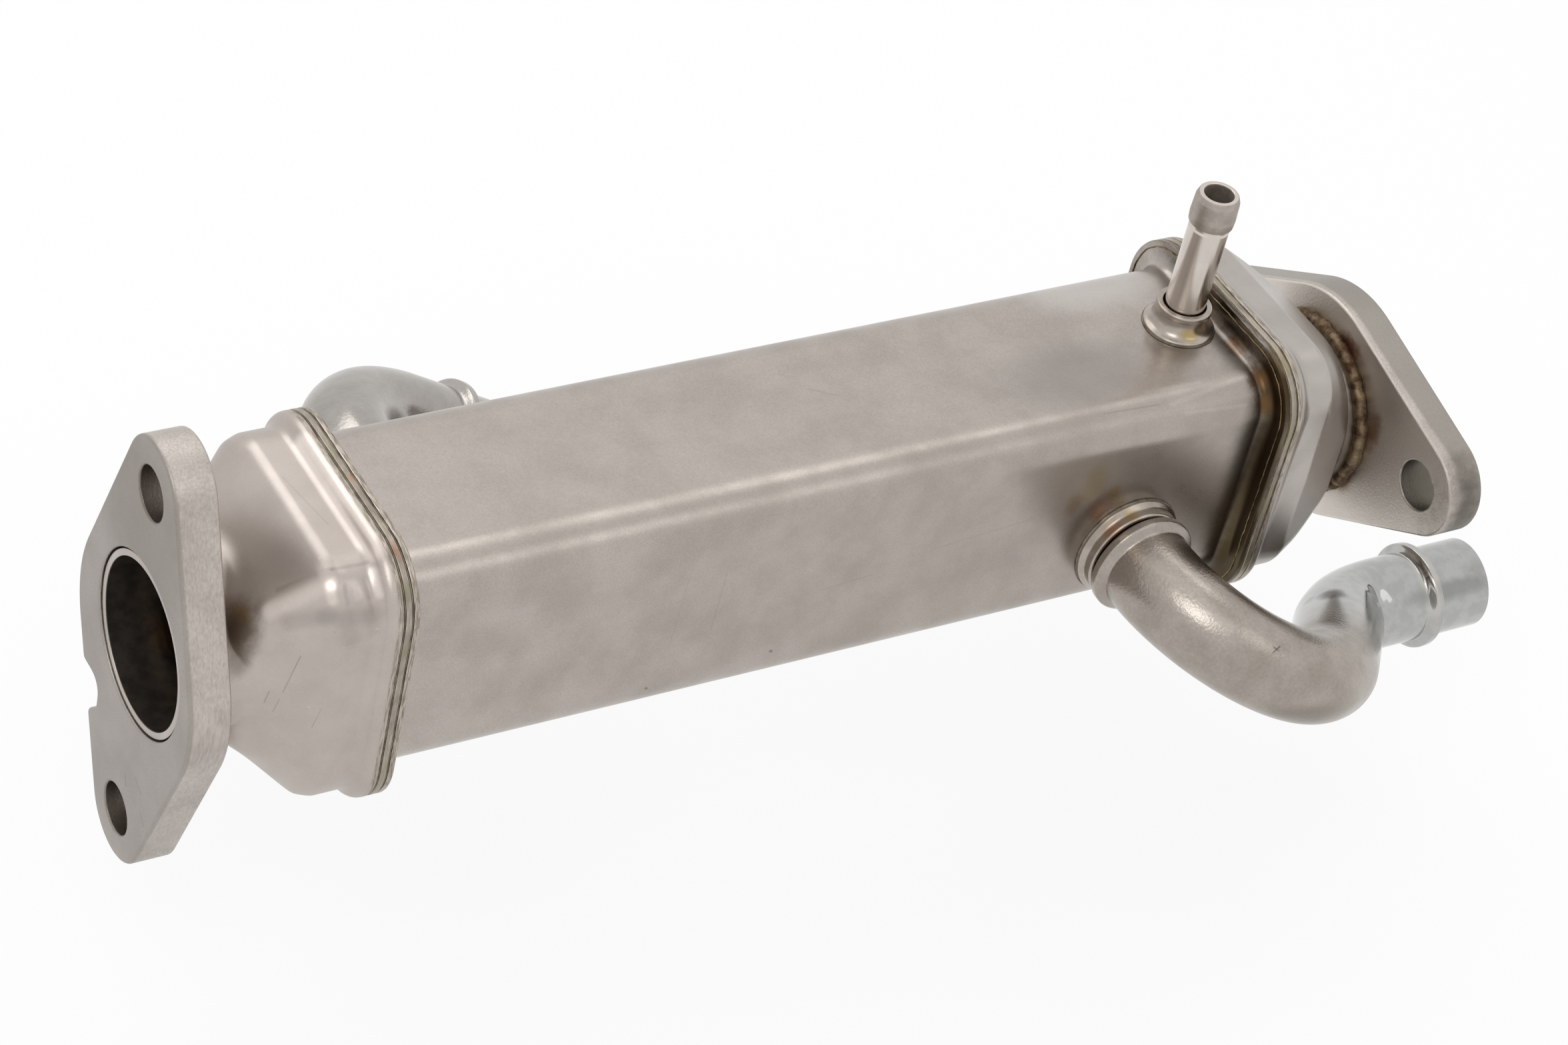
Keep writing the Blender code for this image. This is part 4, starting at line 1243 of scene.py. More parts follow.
def evenly(points: Sequence[Pair], closed: bool = True) -> np.ndarray:
    """Points at an outline's even spacing along a path, whose end may join its start."""
    path = np.vstack([points, points[:1]]) if closed else np.asarray(points)
    lengths = np.concatenate([[0], np.cumsum(np.linalg.norm(np.diff(path, axis=0), axis=1))])
    count = max(3, int(round(lengths[-1] / OUTLINE_STEP)))
    stations = np.linspace(0, lengths[-1], count + 1)[:count + (not closed)]
    return np.stack([np.interp(stations, lengths, path[:, k]) for k in (0, 1)], axis=-1)


def arc_points(centre: Pair, radius: float, start: float, end: float, steps: int) -> list[Pair]:
    """Points on a circular arc, both ends included."""
    return [(centre[0] + radius * math.cos(start + (end - start) * k / steps),
             centre[1] + radius * math.sin(start + (end - start) * k / steps))
            for k in range(steps + 1)]


@dataclass
class Flange:
    """A thick two-bolt plate with softened edges."""

    node: str
    start: float
    centre: Pair
    spread: float
    angle: float
    bore_centre: Pair
    bore_radius: float
    notched: bool = False
    thickness: float = 0.0080
    hub_radius: float = 0.0241
    ear_radius: float = 0.0103
    hole_radius: float = 0.0050
    edge: float = 0.0006
    hole_edge: float = 0.0004
    notch_floor: float = 0.0119
    notch_low: float = -0.0230
    notch_high: float = -0.0172
    notch_round: float = 0.0030
    notch_reach: float = 0.030
    softenings: int = 6
    ear_steps: int = 48
    hub_steps: int = 32
    notch_steps: int = 16
    edge_steps: int = 4
    sharp: float = 60.0

    def ears(self) -> list[Pair]:
        """The middles of the two bolt holes in YZ."""
        half = self.spread / 2
        return [(self.centre[0] + side * half * math.cos(self.angle),
                 self.centre[1] + side * half * math.sin(self.angle)) for side in (1, -1)]

    def outline(self) -> np.ndarray:
        """The plate's outline in YZ, evenly spaced, with its relief where it has one."""
        lean = math.acos((self.hub_radius - self.ear_radius) / (self.spread / 2))
        points = []
        for ear, turn in zip(self.ears(), (self.angle, self.angle + math.pi)):
            points += arc_points(ear, self.ear_radius, turn - lean, turn + lean, self.ear_steps)
            points += arc_points(self.centre, self.hub_radius, turn + lean, turn + math.pi - lean,
                                 self.hub_steps)
        outline = evenly(points)
        if self.notched:
            outline = self._relieved(outline)
        for _ in range(self.softenings):
            outline = (np.roll(outline, 1, axis=0) + 2 * outline + np.roll(outline, -1, axis=0)) / 4
        return outline

    def _relieved(self, outline: np.ndarray) -> np.ndarray:
        """Take the relief beside the lower ear out of the plate's outline."""
        floor = self.centre[0] + self.notch_floor
        low = self.centre[1] + self.notch_low
        high = self.centre[1] + self.notch_high
        out = floor + self.notch_reach
        bend = arc_points((floor + self.notch_round, high - self.notch_round), self.notch_round,
                          math.pi / 2, math.pi, self.notch_steps)
        edge = evenly([(out, high), *bend, (floor, low), (out, low - (out - floor))], closed=False)
        gone = inside_polygon(outline, edge)
        first = int(np.argmax(gone & ~np.roll(gone, 1)))
        kept = np.roll(outline, -first, axis=0)[int(gone.sum()):]
        added = edge[inside_polygon(edge, outline)]
        if np.linalg.norm(added[0] - kept[-1]) > np.linalg.norm(added[-1] - kept[-1]):
            added = added[::-1]
        return evenly(np.vstack([kept, added]))

    def build(self, material: Material) -> Thing:
        """Build the flange.

        Args:
            material: Its finish.

        Returns:
            The finished flange.
        """
        builder = bmesh.new()
        outline = self.outline()
        along = np.roll(outline, -1, axis=0) - np.roll(outline, 1, axis=0)
        normals = along[:, ::-1] * (1, -1) / np.linalg.norm(along, axis=1, keepdims=True)
        if ((outline - outline.mean(axis=0)) * normals).sum() < 0:
            normals = -normals
        loops = [self._wall(builder, outline, -normals, self.edge)]
        round_hole = circle(PIPE_AROUND)
        holes = [(place, self.hole_radius) for place in self.ears()]
        for place, radius in [*holes, (self.bore_centre, self.bore_radius)]:
            hole = round_hole * radius + place
            loops.append(self._wall(builder, hole, round_hole, self.hole_edge))
        for side in (0, 1):
            bmesh.ops.triangle_fill(builder, use_beauty=True, use_dissolve=False,
                                    edges=[edge for pair in loops for edge in pair[side]])
        bmesh.ops.recalc_face_normals(builder, faces=builder.faces)
        mesh = bpy.data.meshes.new(self.node + "_plate")
        builder.to_mesh(mesh)
        builder.free()
        thing = bpy.data.objects.new(self.node + "_plate", mesh)
        return finish_piece(thing, material, (self.node,), sharp=self.sharp)

    def _wall(self, builder: bmesh.types.BMesh, outline: np.ndarray, into: np.ndarray,
              edge: float) -> tuple:
        """Build one wall of the plate between its faces, with rounded edges.

        Args:
            builder: The mesh so far.
            outline: The wall's outline in YZ.
            into: The direction at each point into the plate's material.
            edge: The radius of the rounded edges.

        Returns:
            The edges of the loop at the first face and at the last one.
        """
        turns = np.linspace(0, math.pi / 2, self.edge_steps + 1)
        rounding = [(edge * (1 - math.sin(a)), edge * (1 - math.cos(a))) for a in turns]
        stations = [(self.start + x, inset) for x, inset in rounding[::-1]]
        stations += [(self.start + self.thickness - x, inset) for x, inset in rounding]
        rings = [[builder.verts.new(p) for p in ring_at(x, outline + into * inset)]
                 for x, inset in stations]
        around = [(k, (k + 1) % len(outline)) for k in range(len(outline))]
        for ring, following in zip(rings, rings[1:]):
            for k, after in around:
                builder.faces.new((ring[k], ring[after], following[after], following[k]))
        builder.edges.ensure_lookup_table()
        return tuple([builder.edges.get((ring[k], ring[after])) for k, after in around]
                     for ring in (rings[0], rings[-1]))


def shell_drop(across: np.ndarray) -> np.ndarray:
    """How far the shell's side falls away at distances from its middle, round its corners."""
    corner = PLAN.shell_corner
    over = np.clip(np.abs(across) - (PLAN.shell_height / 2 - corner), 0, corner * DROP_LIMIT)
    return corner - np.sqrt(corner ** 2 - over ** 2)


@dataclass
class PipeBoss:
    """The turned collar that is brazed on the shell round a coolant pipe."""

    node: str
    seat: Vector
    outwards: Vector
    inner: float = 0.0095
    foot: float = 0.0112
    neck: float = 0.0104
    height: float = 0.0038
    low: float = -0.0004
    settled: float = 0.0020
    settling: float = 0.0016

    def build(self, material: Material) -> Thing:
        """Build the collar, with its foot down on the shell.

        Args:
            material: Its finish.

        Returns:
            The finished collar.
        """
        corners = [(self.inner, self.height), (self.neck, self.height),
                   (self.neck - 0.0001, 0.0017), (self.foot, 0.0008), (self.foot, self.low),
                   (self.inner, self.low)]
        profile = filleted(corners, [0.0003, 0.0006, 0.0009, 0.0003, 0, 0], 6, closed=True)
        grid = turned_grid(profile, self.seat, self.outwards)
        heights = np.array(profile)[:, 1:]
        share = smooth_step((self.settled - heights) / self.settling)
        grid -= (share * shell_drop(grid[:, :, 2]))[..., None] * np.array(self.outwards)
        return finish_piece(ring_mesh(self.node + "_collar", grid), material,
                            (self.node,))

    def seam(self, radius: float, lift: float) -> np.ndarray:
        """The line at a radius round the pipe, lifted a little off the shell."""
        line = turned_grid([(radius, lift)], self.seat, self.outwards, SEAM_AROUND)[0]
        return line - shell_drop(line[:, 2])[:, None] * np.array(self.outwards)


@dataclass
class BleedNipple:
    """The bleed nipple with its barb, and the boss that it stands in."""

    seat: Vector
    radius: float = 0.0040
    bore: float = 0.0029
    height: float = 0.0318
    barb_length: float = 0.0068
    barb_crest: float = 0.0050
    barb_height: float = 0.0005
    inside: float = 0.0020
    boss_foot: float = 0.0071
    boss_lip: float = 0.0055
    boss_height: float = 0.0055
    boss_low: float = -0.0004
    seam_around: int = 200

    def build(self, material: Material, boss_material: Material) -> None:
        """Build the nipple and its boss.

        Args:
            material: The nipple's finish.
            boss_material: The boss's finish.
        """
        profile = self._tube()
        matt = [r > self.radius - 0.0002 and h > self.height - self.barb_length
                for r, h in profile]
        inside = [r < self.bore + 0.0001 for r, _ in profile]
        tube = ring_mesh("bleed_tube", turned_grid(profile, self.seat, Z_AXIS),
                         {"matt": matt, "inside": inside})
        finish_piece(tube, material, ("bleed_nipple",))
        boss = ring_mesh("bleed_boss", turned_grid(self._boss(), self.seat, Z_AXIS))
        finish_piece(boss, boss_material, ("nipple_boss",))

    def _tube(self) -> list[Pair]:
        """The nipple's profile: its barb, the groove below it, its shaft and its bore."""
        top, radius = self.height, self.radius
        crest = radius + self.barb_height
        root = top - self.barb_length
        corners = [(radius - 0.0001, top), (crest - 0.00015, top - 0.0012),
                   (crest, top - self.barb_crest), (crest - 0.00012, root + 0.0002),
                   (radius - 0.00025, root - 0.0001), (radius - 0.00025, root - 0.0007),
                   (radius, root - 0.0011), (radius, -self.inside), (self.bore, -self.inside),
                   (self.bore, top)]
        radii = [0.0003, 0.0008, 0.0010, 0.00015, 0.0001, 0.0001, 0.0002, 0, 0, 0.0003]
        return filleted(corners, radii, 6, closed=True)

    def _boss(self) -> list[Pair]:
        """The boss's profile: a lip, a waist and a foot that sweeps out to the shell."""
        inner, lip, high, foot = (self.radius + PLAN.seam, self.boss_lip, self.boss_height,
                                  self.boss_foot)
        waist = lip - 0.0004
        sweep = [(foot + (waist - foot) * math.sin(a),
                  0.0008 + (high - 0.0024) * (1 - math.cos(a)))
                 for a in np.linspace(math.pi / 2, 0.12, 14)]
        corners = [(inner, high), (lip, high), (lip, high - 0.0012), *sweep, (foot, 0.0006),
                   (foot, self.boss_low), (inner, self.boss_low)]
        radii = [0.0002, 0.00035, 0.0002] + [0] * len(sweep) + [0.0002, 0, 0]
        return filleted(corners, radii, 5, closed=True)

    def seam(self, radius: float, lift: float) -> np.ndarray:
        """The line where the boss's foot meets the shell."""
        return turned_grid([(radius, lift)], self.seat, Z_AXIS, self.seam_around)[0]


@dataclass
class Leg:
    """One straight or round leg of a pipe's centre line."""

    start: Vector
    heading: Vector
    length: float
    side: Vector
    radius: float = 0.0

    def at(self, distance: float) -> tuple[Vector, Vector]:
        """The point and the heading at a distance along the leg."""
        if self.radius == 0:
            return self.start + self.heading * distance, self.heading.copy()
        turn = distance / self.radius
        centre = self.start + self.side * self.radius
        point = (centre - self.side * (self.radius * math.cos(turn))
                 + self.heading * (self.radius * math.sin(turn)))
        return point, self.heading * math.cos(turn) + self.side * math.sin(turn)


@dataclass
class CoolantPipe:
    """A bent tube with two rolled beads."""

    node: str
    start: Vector
    heading: Vector
    legs: list[Leg] = field(default_factory=list)
    radius: float = 0.0092
    wall: float = 0.0015
    bead_height: float = 0.0017
    bead_width: float = 0.0030
    bead_foot: float = 1.35
    bead_flank: float = 0.95
    boss_bead: float = 0.0078
    tail: float = 0.0140
    edge: float = 0.0004
    edge_blend: float = 0.6
    spacing: float = 0.0008
    bead_stations: int = 33
    smooth_from: float = 0.0
    smooth_over: float = 0.010
    smooth_share: float = 1.0
    flattening: float = 0.025
    pinch: float = 0.0
    pinch_width: float = 0.16

    def end(self) -> tuple[Vector, Vector]:
        """The point and the heading at the end of the last leg."""
        if not self.legs:
            return self.start.copy(), self.heading.copy()
        return self.legs[-1].at(self.legs[-1].length)

    def straight(self, length: float) -> None:
        """Add a straight leg."""
        point, heading = self.end()
        self.legs.append(Leg(point, heading, length, heading))

    def bend(self, radius: float, angle: float, towards: Vector) -> None:
        """Add a round leg.

        Args:
            radius: The bend's radius at the centre line.
            angle: How far it turns.
            towards: The direction it turns to.
        """
        point, heading = self.end()
        side = (towards - heading * towards.dot(heading)).normalized()
        self.legs.append(Leg(point, heading, radius * angle, side, radius))

    @property
    def length(self) -> float:
        """The centre line's whole length."""
        return sum(leg.length for leg in self.legs)

    @property
    def beads(self) -> Pair:
        """Where the middles of the two beads are along the pipe."""
        return self.boss_bead, self.length - self.tail

    def at(self, distance: float) -> tuple[Vector, Vector, int, float]:
        """Find a place along the pipe.

        Args:
            distance: How far along, in metres.

        Returns:
            The point, the heading, the leg's number and how far through it, from 0 to 1.
        """
        number = 0
        while distance > self.legs[number].length and number < len(self.legs) - 1:
            distance -= self.legs[number].length
            number += 1
        leg = self.legs[number]
        return (*leg.at(distance), number, distance / leg.length)

    def stations(self) -> np.ndarray:
        """Distances along the pipe in order, closer together at the beads and ends."""
        count = int(self.length / self.spacing)
        places = set(np.round(np.linspace(0, self.length, count), 7).tolist())
        for middle in self.beads:
            close = np.linspace(middle - self.bead_width, middle + self.bead_width,
                                self.bead_stations)
            places = {p for p in places if abs(p - middle) > self.bead_width + 0.0002}
            places |= set(np.round(close, 7).tolist())
        return np.array(sorted(places))

    def swell(self, distance: float) -> float:
        """How far the wall stands out at the beads."""
        offs = [abs(distance - middle) / (self.bead_width / 2) for middle in self.beads]
        return sum(self.bead_height * float(smooth_step((self.bead_foot - off) / self.bead_flank))
                   for off in offs)

    def build(self, material: Material) -> Thing:
        """Build the pipe.

        Args:
            material: Its finish.

        Returns:
            The finished pipe.
        """
        places = self.stations()
        spokes = circle(PIPE_AROUND)
        outer, inner = [], []
        across = self.heading.orthogonal().normalized()
        before = self.heading
        for distance in places.tolist():
            point, heading, number, share = self.at(distance)
            if outer:
                across = before.rotation_difference(heading) @ across
                across = (across - heading * across.dot(heading)).normalized()
            before = heading
            wheel = spokes @ np.array((across, heading.cross(across)))
            radius = self._radii(wheel, self.legs[number], number, share) + self.swell(distance)
            outer.append(np.array(point) + wheel * radius[:, None])
            inner.append(np.array(point) + wheel * (radius - self.wall)[:, None])
        soft = self.edge / self.radius
        first = outer[0] * (1 - soft) + np.array(self.start) * soft
        last = outer[-1] * (1 - soft) + np.array(self.end()[0]) * soft
        outer[0] = outer[0] * self.edge_blend + outer[1] * (1 - self.edge_blend)
        outer[-1] = outer[-1] * self.edge_blend + outer[-2] * (1 - self.edge_blend)
        grid = np.stack([first, *outer, last, *inner[::-1]])
        smooth = smooth_step((places - self.smooth_from) / self.smooth_over) * self.smooth_share
        smooth = np.concatenate([smooth[:1], smooth, smooth[-1:], smooth[::-1]])
        return finish_piece(ring_mesh(self.node + "_tube", grid, {"smooth": smooth}), material,
                            (self.node,))

    def _radii(self, wheel: np.ndarray, leg: Leg, number: int, share: float) -> np.ndarray:
        """The wall's radius round one ring, flattened in a bend and creased in the last one.

        Args:
            wheel: The ring's directions.
            leg: The leg it is on.
            number: The leg's number.
            share: How far through the leg it is.

        Returns:
            One radius for each direction.
        """
        radius = np.full(len(wheel), self.radius)
        if leg.radius > 0:
            turn = leg.length * share / leg.radius
            side = leg.side * math.cos(turn) - leg.heading * math.sin(turn)
            inward = wheel @ np.array(side.normalized())
            flat = float(smooth_step(min(share, 1 - share) * 5))
            radius -= self.radius * self.flattening * flat * inward ** 2
            if number == len(self.legs) - 2:
                crease = math.exp(-((share - 0.50) / self.pinch_width) ** 2)
                radius -= self.pinch * crease * smooth_step((inward - 0.35) / 0.65)
        return radius


# Finishes

def tints_and_painted_light(*rows: tuple) -> tuple[TintAndPaintedLight, ...]:
    """Tints and painted light from rows of centre, reach, colour, strength and, after them, ragged
    and core.
    """
    return tuple(TintAndPaintedLight(row[:3], row[3:6], *row[6:]) for row in rows)


def scratches_and_painted_light(*rows: tuple) -> tuple[ScratchAndPaintedLight, ...]:
    """Scratches, painted highlights and painted shade from rows of start, end, width and shade."""
    return tuple(ScratchAndPaintedLight(row[:3], row[3:6], *row[6:]) for row in rows)


# Where brazing left its colours on the rims: olive, straw and copper on the sheared layers.
INLET_RIM_TINTS = tints_and_painted_light(
    (37.0, 7.7, 29.3, 2.2, 4.0, 1.6, "#7d7963", 0.45),
    (37.4, -0.2, 29.3, 2.2, 1.8, 1.6, "#a8784c", 0.55),
    (36.6, -19.0, 28.6, 2.2, 3.2, 1.8, "#a07663", 0.55),
    (36.6, -25.2, 24.4, 2.2, 2.8, 3.6, "#7d7a62", 0.55),
    (36.8, -27.5, 12.8, 2.2, 1.6, 2.6, "#8a866c", 0.50),
    (37.0, -27.5, -16.5, 2.2, 1.6, 6.5, "#8f8a70", 0.35),
    (36.8, 27.6, 4.0, 2.2, 1.6, 9.0, "#8f8a70", 0.35))
OUTLET_RIM_TINTS = tints_and_painted_light(
    (224.3, -20.0, 28.5, 2.4, 7.5, 2.6, "#a39570", 0.40),
    (224.3, -27.6, 16.0, 2.4, 1.8, 7.5, "#91886c", 0.45),
    (224.3, -27.6, -1.0, 2.4, 1.8, 5.5, "#9a9074", 0.40),
    (224.3, -27.6, -17.0, 2.4, 1.8, 7.5, "#837c62", 0.50),
    (224.3, 8.0, 29.6, 2.4, 9.0, 1.6, "#958a6c", 0.35))
# The furnace and the welds darkened the shell beside its outlet rim and round the front boss. The
# first row is painted shade over the whole front, darker towards the outlet end, and two rows on
# the top are painted shade near its front corner and a painted highlight at its far right.
SHELL_TINTS_AND_PAINTED_LIGHT = tints_and_painted_light(
    # Painted shade: the whole front grows darker towards the outlet end.
    (236.0, -22.0, -2.0, 205.0, 14.0, 60.0, "#8a8078", 0.23, 0.05),
    (226.5, -25.0, -4.0, 12.5, 15.0, 70.0, "#4c412e", 0.97, 0.10, 0.36),
    (224.0, -22.0, -21.0, 10.0, 8.0, 12.0, "#3f3623", 0.85, 0.20),
    (224.5, -20.0, 23.0, 7.0, 10.0, 10.0, "#463826", 0.95, 0.20, 0.50),
    (220.6, -18.5, 24.0, 2.4, 3.4, 3.0, "#7a5433", 0.45, 0.35),
    (220.8, -21.4, 20.0, 2.0, 3.0, 3.4, "#7a5a36", 0.45, 0.35),
    (225.2, 2.0, 27.0, 8.0, 31.0, 8.0, "#352a1a", 0.96, 0.20),
    (220.4, 4.0, 24.6, 3.6, 6.0, 3.0, "#6b4526", 0.70, 0.40),
    (220.8, -9.0, 24.6, 2.6, 3.6, 3.0, "#75502c", 0.55, 0.40),
    (225.0, 25.0, 0.0, 8.0, 8.0, 30.0, "#453a28", 0.85, 0.25),
    (225.0, 0.0, -27.0, 7.0, 29.0, 8.0, "#453a28", 0.85, 0.25),
    (183.9, -22.1, 9.8, 4.4, 3.0, 6.4, "#9c8f68", 0.42, 0.55),
    (187.3, -22.1, 2.9, 4.0, 3.0, 4.0, "#835f4a", 0.50, 0.60),
    (189.4, -22.1, 6.2, 2.0, 2.0, 2.4, "#9a7840", 0.45, 0.45),
    (180.6, -22.1, 5.0, 2.4, 2.0, 3.4, "#8a6a45", 0.45, 0.45),
    # Painted shade on the top towards its front corner, then a painted highlight on the top's far
    # right.
    (187.0, -7.0, 24.0, 26.0, 13.0, 4.0, "#8b8580", 0.55, 0.10),
    (204.0, 17.0, 24.0, 24.0, 11.0, 4.0, "#cdc8c4", 0.60, 0.10),
    (57.0, 22.1, 12.0, 9.0, 3.0, 4.0, "#8f7a52", 0.55, 0.45)) + OUTLET_RIM_TINTS
HEADER_TINTS_AND_PAINTED_SHADE = tints_and_painted_light(
    # Painted shade: the cone's upper front darker towards the neck.
    (11.5, -8.0, 15.0, 9.0, 11.0, 10.0, "#7f766d", 0.70, 0.10),
    (11.0, -14.6, 13.6, 4.8, 6.8, 8.4, "#54463a", 0.90, 0.20),
    (11.4, -13.4, 16.6, 3.0, 3.4, 3.4, "#7a6036", 0.45, 0.35),
    # Painted shade: the cone's front darker beside the neck and the flange.
    (10.5, -16.5, 8.0, 3.6, 4.0, 5.0, "#6f675c", 0.60, 0.30),
    (10.5, 14.0, -14.0, 4.6, 6.5, 8.0, "#6a4d2e", 0.75, 0.30),
    (8.0, 0.0, 0.0, 3.0, 20.5, 20.5, "#6f5c43", 0.65, 0.30)) + INLET_RIM_TINTS
OUTLET_TINTS_AND_PAINTED_SHADE = tints_and_painted_light(
    # Painted shade: the whole dome darker.
    (247.5, -6.0, -2.0, 10.0, 24.0, 26.0, "#75695f", 0.80, 0.10),
    (252.5, -2.0, -2.0, 3.2, 24.0, 24.0, "#6a4a30", 0.75, 0.35)) + OUTLET_RIM_TINTS
# Painted shade on the inlet plate's face and more on its upper part, a painted lighter outlet back
# face, painted shade over the outlet plate and more at its low end, the bolt holes' walls darker,
# then rust and a brown ring behind the inlet plate.
FLANGE_TINTS_AND_PAINTED_LIGHT = tints_and_painted_light(
    # Painted shade on the inlet plate's face, then more on its upper part.
    (0.0, 0.0, 0.0, 1.1, 70.0, 70.0, "#938e88", 0.62, 0.05, 0.60),
    (0.0, 4.0, 26.0, 1.2, 26.0, 26.0, "#877f77", 0.50, 0.25, 0.30),
    # Painted light on the outlet plate's back face, then painted shade over the outlet plate and
    # more at its low end.
    (252.9, 0.0, 0.0, 0.6, 70.0, 70.0, "#ded7cf", 0.85, 0.05, 0.50),
    (258.6, 0.0, 0.0, 4.8, 70.0, 70.0, "#938e86", 0.80, 0.05, 0.80),
    (257.5, -43.0, 2.0, 6.0, 10.0, 18.0, "#625d55", 0.90, 0.30),
    (4.0, 2.2, 32.7, 9.0, 6.2, 6.2, "#6d645b", 0.80, 0.05, 0.88),
    (4.0, 1.0, -40.9, 9.0, 6.2, 6.2, "#6d645b", 0.80, 0.05, 0.88),
    (257.0, -36.4, 4.0, 9.0, 6.2, 6.2, "#5f5b50", 0.85, 0.05, 0.88),
    (257.0, 32.6, -7.6, 9.0, 6.2, 6.2, "#5f5b50", 0.85, 0.05, 0.88),
    (253.0, -7.0, 15.5, 1.8, 5.5, 4.0, "#84492a", 0.80, 0.45),
    (253.0, -20.8, 5.0, 1.8, 3.2, 6.0, "#7f5232", 0.70, 0.45),
    (253.0, -17.0, -10.0, 1.8, 4.0, 4.0, "#8d6a3f", 0.60, 0.45),
    (8.4, 0.0, 0.0, 1.6, 24.0, 24.0, "#836c4e", 0.45, 0.35))
BOSS_TINTS = tints_and_painted_light((189.8, -24.8, -1.6, 3.4, 2.6, 4.0, "#9a7350", 0.50, 0.40),
                   (193.4, -24.6, 1.6, 2.6, 2.2, 2.2, "#a98d52", 0.60, 0.40))
TURNED_TINTS = (tints_and_painted_light((212.8, -4.8, 26.0, 3.4, 2.4, 1.8, "#a48c4c", 0.70, 0.40),
                      (217.0, -4.0, 27.0, 2.4, 2.4, 2.0, "#8c6a45", 0.45, 0.40)) + BOSS_TINTS
                + tints_and_painted_light((196.5, -23.2, -8.9, 14.0, 0.9, 14.0, "#8b806f", 0.45, 0.30)))
# After the boss's braze colours: painted shade along the underside of the big bend, a painted dark
# reflection in the last bend with a softer painted dark patch beside it, a painted highlight on top
# of the tail's bead, a painted dark reflection along the tail and a darker spot near its end.
PIPE_TINTS_AND_PAINTED_LIGHT = BOSS_TINTS + tints_and_painted_light(
    # Painted shade along the underside of the big bend.
    (214.0, -64.0, -22.5, 18.0, 5.0, 6.0, "#776f66", 0.60, 0.10),
    # A painted dark reflection in the last bend; the row after next softens it.
    (243.4, -34.2, -24.0, 3.9, 3.6, 3.9, "#40352d", 0.88, 0.30, 0.35),
    # A painted highlight on top of the tail's bead.
    (270.2, -32.0, -28.5, 2.2, 12.0, 12.0, "#c4bfb8", 0.60, 0.20, 0.50),
    (240.0, -31.0, -26.0, 2.6, 2.6, 3.2, "#7d746c", 0.55, 0.35),
    # A painted dark reflection along the tail, then a darker spot near its end.
    (276.0, -35.0, -30.8, 17.0, 2.4, 3.4, "#868684", 0.65, 0.12, 0.30),
    (283.0, -33.0, -29.0, 3.0, 3.0, 3.0, "#8d8c88", 0.45, 0.50))
# Dark scratches and specks on the front and top, then painted highlights by the outlet end of the
# top front corner, and one more dark scratch.
SHELL_MARKS_AND_PAINTED_HIGHLIGHTS = scratches_and_painted_light(
    (96.0, -22.1, 9.0, 95.0, -22.1, -8.0, 0.16, 0.93),
    (150.0, -22.1, 2.0, 172.0, -22.1, 4.0, 0.30, 0.94),
    (104.0, -22.1, 8.0, 103.4, -22.1, -6.0, 0.18, 0.88),
    (126.0, -22.1, -2.0, 137.0, -22.1, -1.0, 0.20, 0.90),
    (118.0, -22.1, -15.0, 118.3, -22.1, -15.2, 0.45, 0.55),
    (92.0, -22.1, -17.0, 92.2, -22.1, -17.2, 0.45, 0.60),
    (132.0, 4.0, 24.0, 137.0, 0.5, 24.0, 0.22, 0.86),
    # Painted highlights: bright streaks fanning out along the top front corner.
    (196.0, -15.4, 24.0, 208.4, -15.7, 23.9, 0.70, 1.10),
    (200.0, -18.9, 22.8, 219.0, -16.6, 23.8, 0.80, 1.12),
    (203.0, -20.4, 21.2, 217.0, -20.9, 20.4, 0.60, 1.12),
    (185.0, -17.9, 23.2, 197.5, -18.4, 23.0, 0.26, 0.86))
# Drag marks from the die, then painted highlights and painted shade round the upper front corner: a
# light band along the joggle's crest, the corner ridge lit with dark lines beside it, light and
# dark streaks on the folds, and painted shade under the ridge.
HEADER_MARKS_AND_PAINTED_LIGHT = scratches_and_painted_light(
    (19.6, -21.6, 11.0, 17.9, -20.5, 2.0, 0.20, 0.66),
    (17.6, -20.3, 0.4, 16.9, -19.8, -2.9, 0.18, 0.70),
    (16.0, -19.1, 1.6, 15.5, -18.8, -1.2, 0.18, 0.70),
    (23.8, -24.2, 0.0, 22.8, -23.6, -5.0, 0.16, 0.78),
    (14.6, -18.4, -6.0, 14.2, -18.2, -8.0, 0.22, 0.66),
    (16.5, 4.0, 19.6, 18.0, -1.0, 20.6, 0.15, 0.76),
    (26.5, 6.0, 27.0, 29.0, -8.0, 27.0, 0.14, 0.84),
    # Painted highlights and painted shade from here on: the joggle's crest, the ridge and the lines
    # beside it, the folds, and the shade under the ridge.
    (32.9, 12.0, 28.3, 32.9, -17.6, 28.2, 2.6, 1.60),
    (15.6, -15.6, 17.2, 24.0, -19.8, 24.4, 2.3, 1.22),
    (17.6, -14.2, 20.4, 25.1, -17.9, 26.5, 0.70, 0.85),
    (25.1, -18.1, 26.4, 31.6, -18.3, 26.5, 0.60, 0.84),
    (23.7, -20.2, 25.0, 23.9, -22.0, 23.0, 1.30, 1.26),
    (32.0, -20.0, 25.7, 32.3, -22.9, 23.2, 1.40, 1.40),
    (28.0, -20.8, 24.9, 28.2, -22.6, 23.2, 1.10, 1.12),
    (30.3, -20.6, 25.2, 30.4, -22.8, 23.0, 1.10, 0.88),
    (26.2, -21.0, 24.8, 26.2, -22.8, 22.8, 1.10, 0.88),
    (18.0, -18.6, 17.0, 23.0, -22.6, 20.6, 2.4, 0.84),
    (22.6, -22.6, 20.0, 31.0, -24.6, 20.2, 2.6, 0.88),
    (25.4, -24.0, 20.4, 27.0, -25.0, 16.0, 2.8, 0.90),
    (30.0, -24.6, 20.6, 30.8, -25.1, 17.0, 2.2, 0.91))
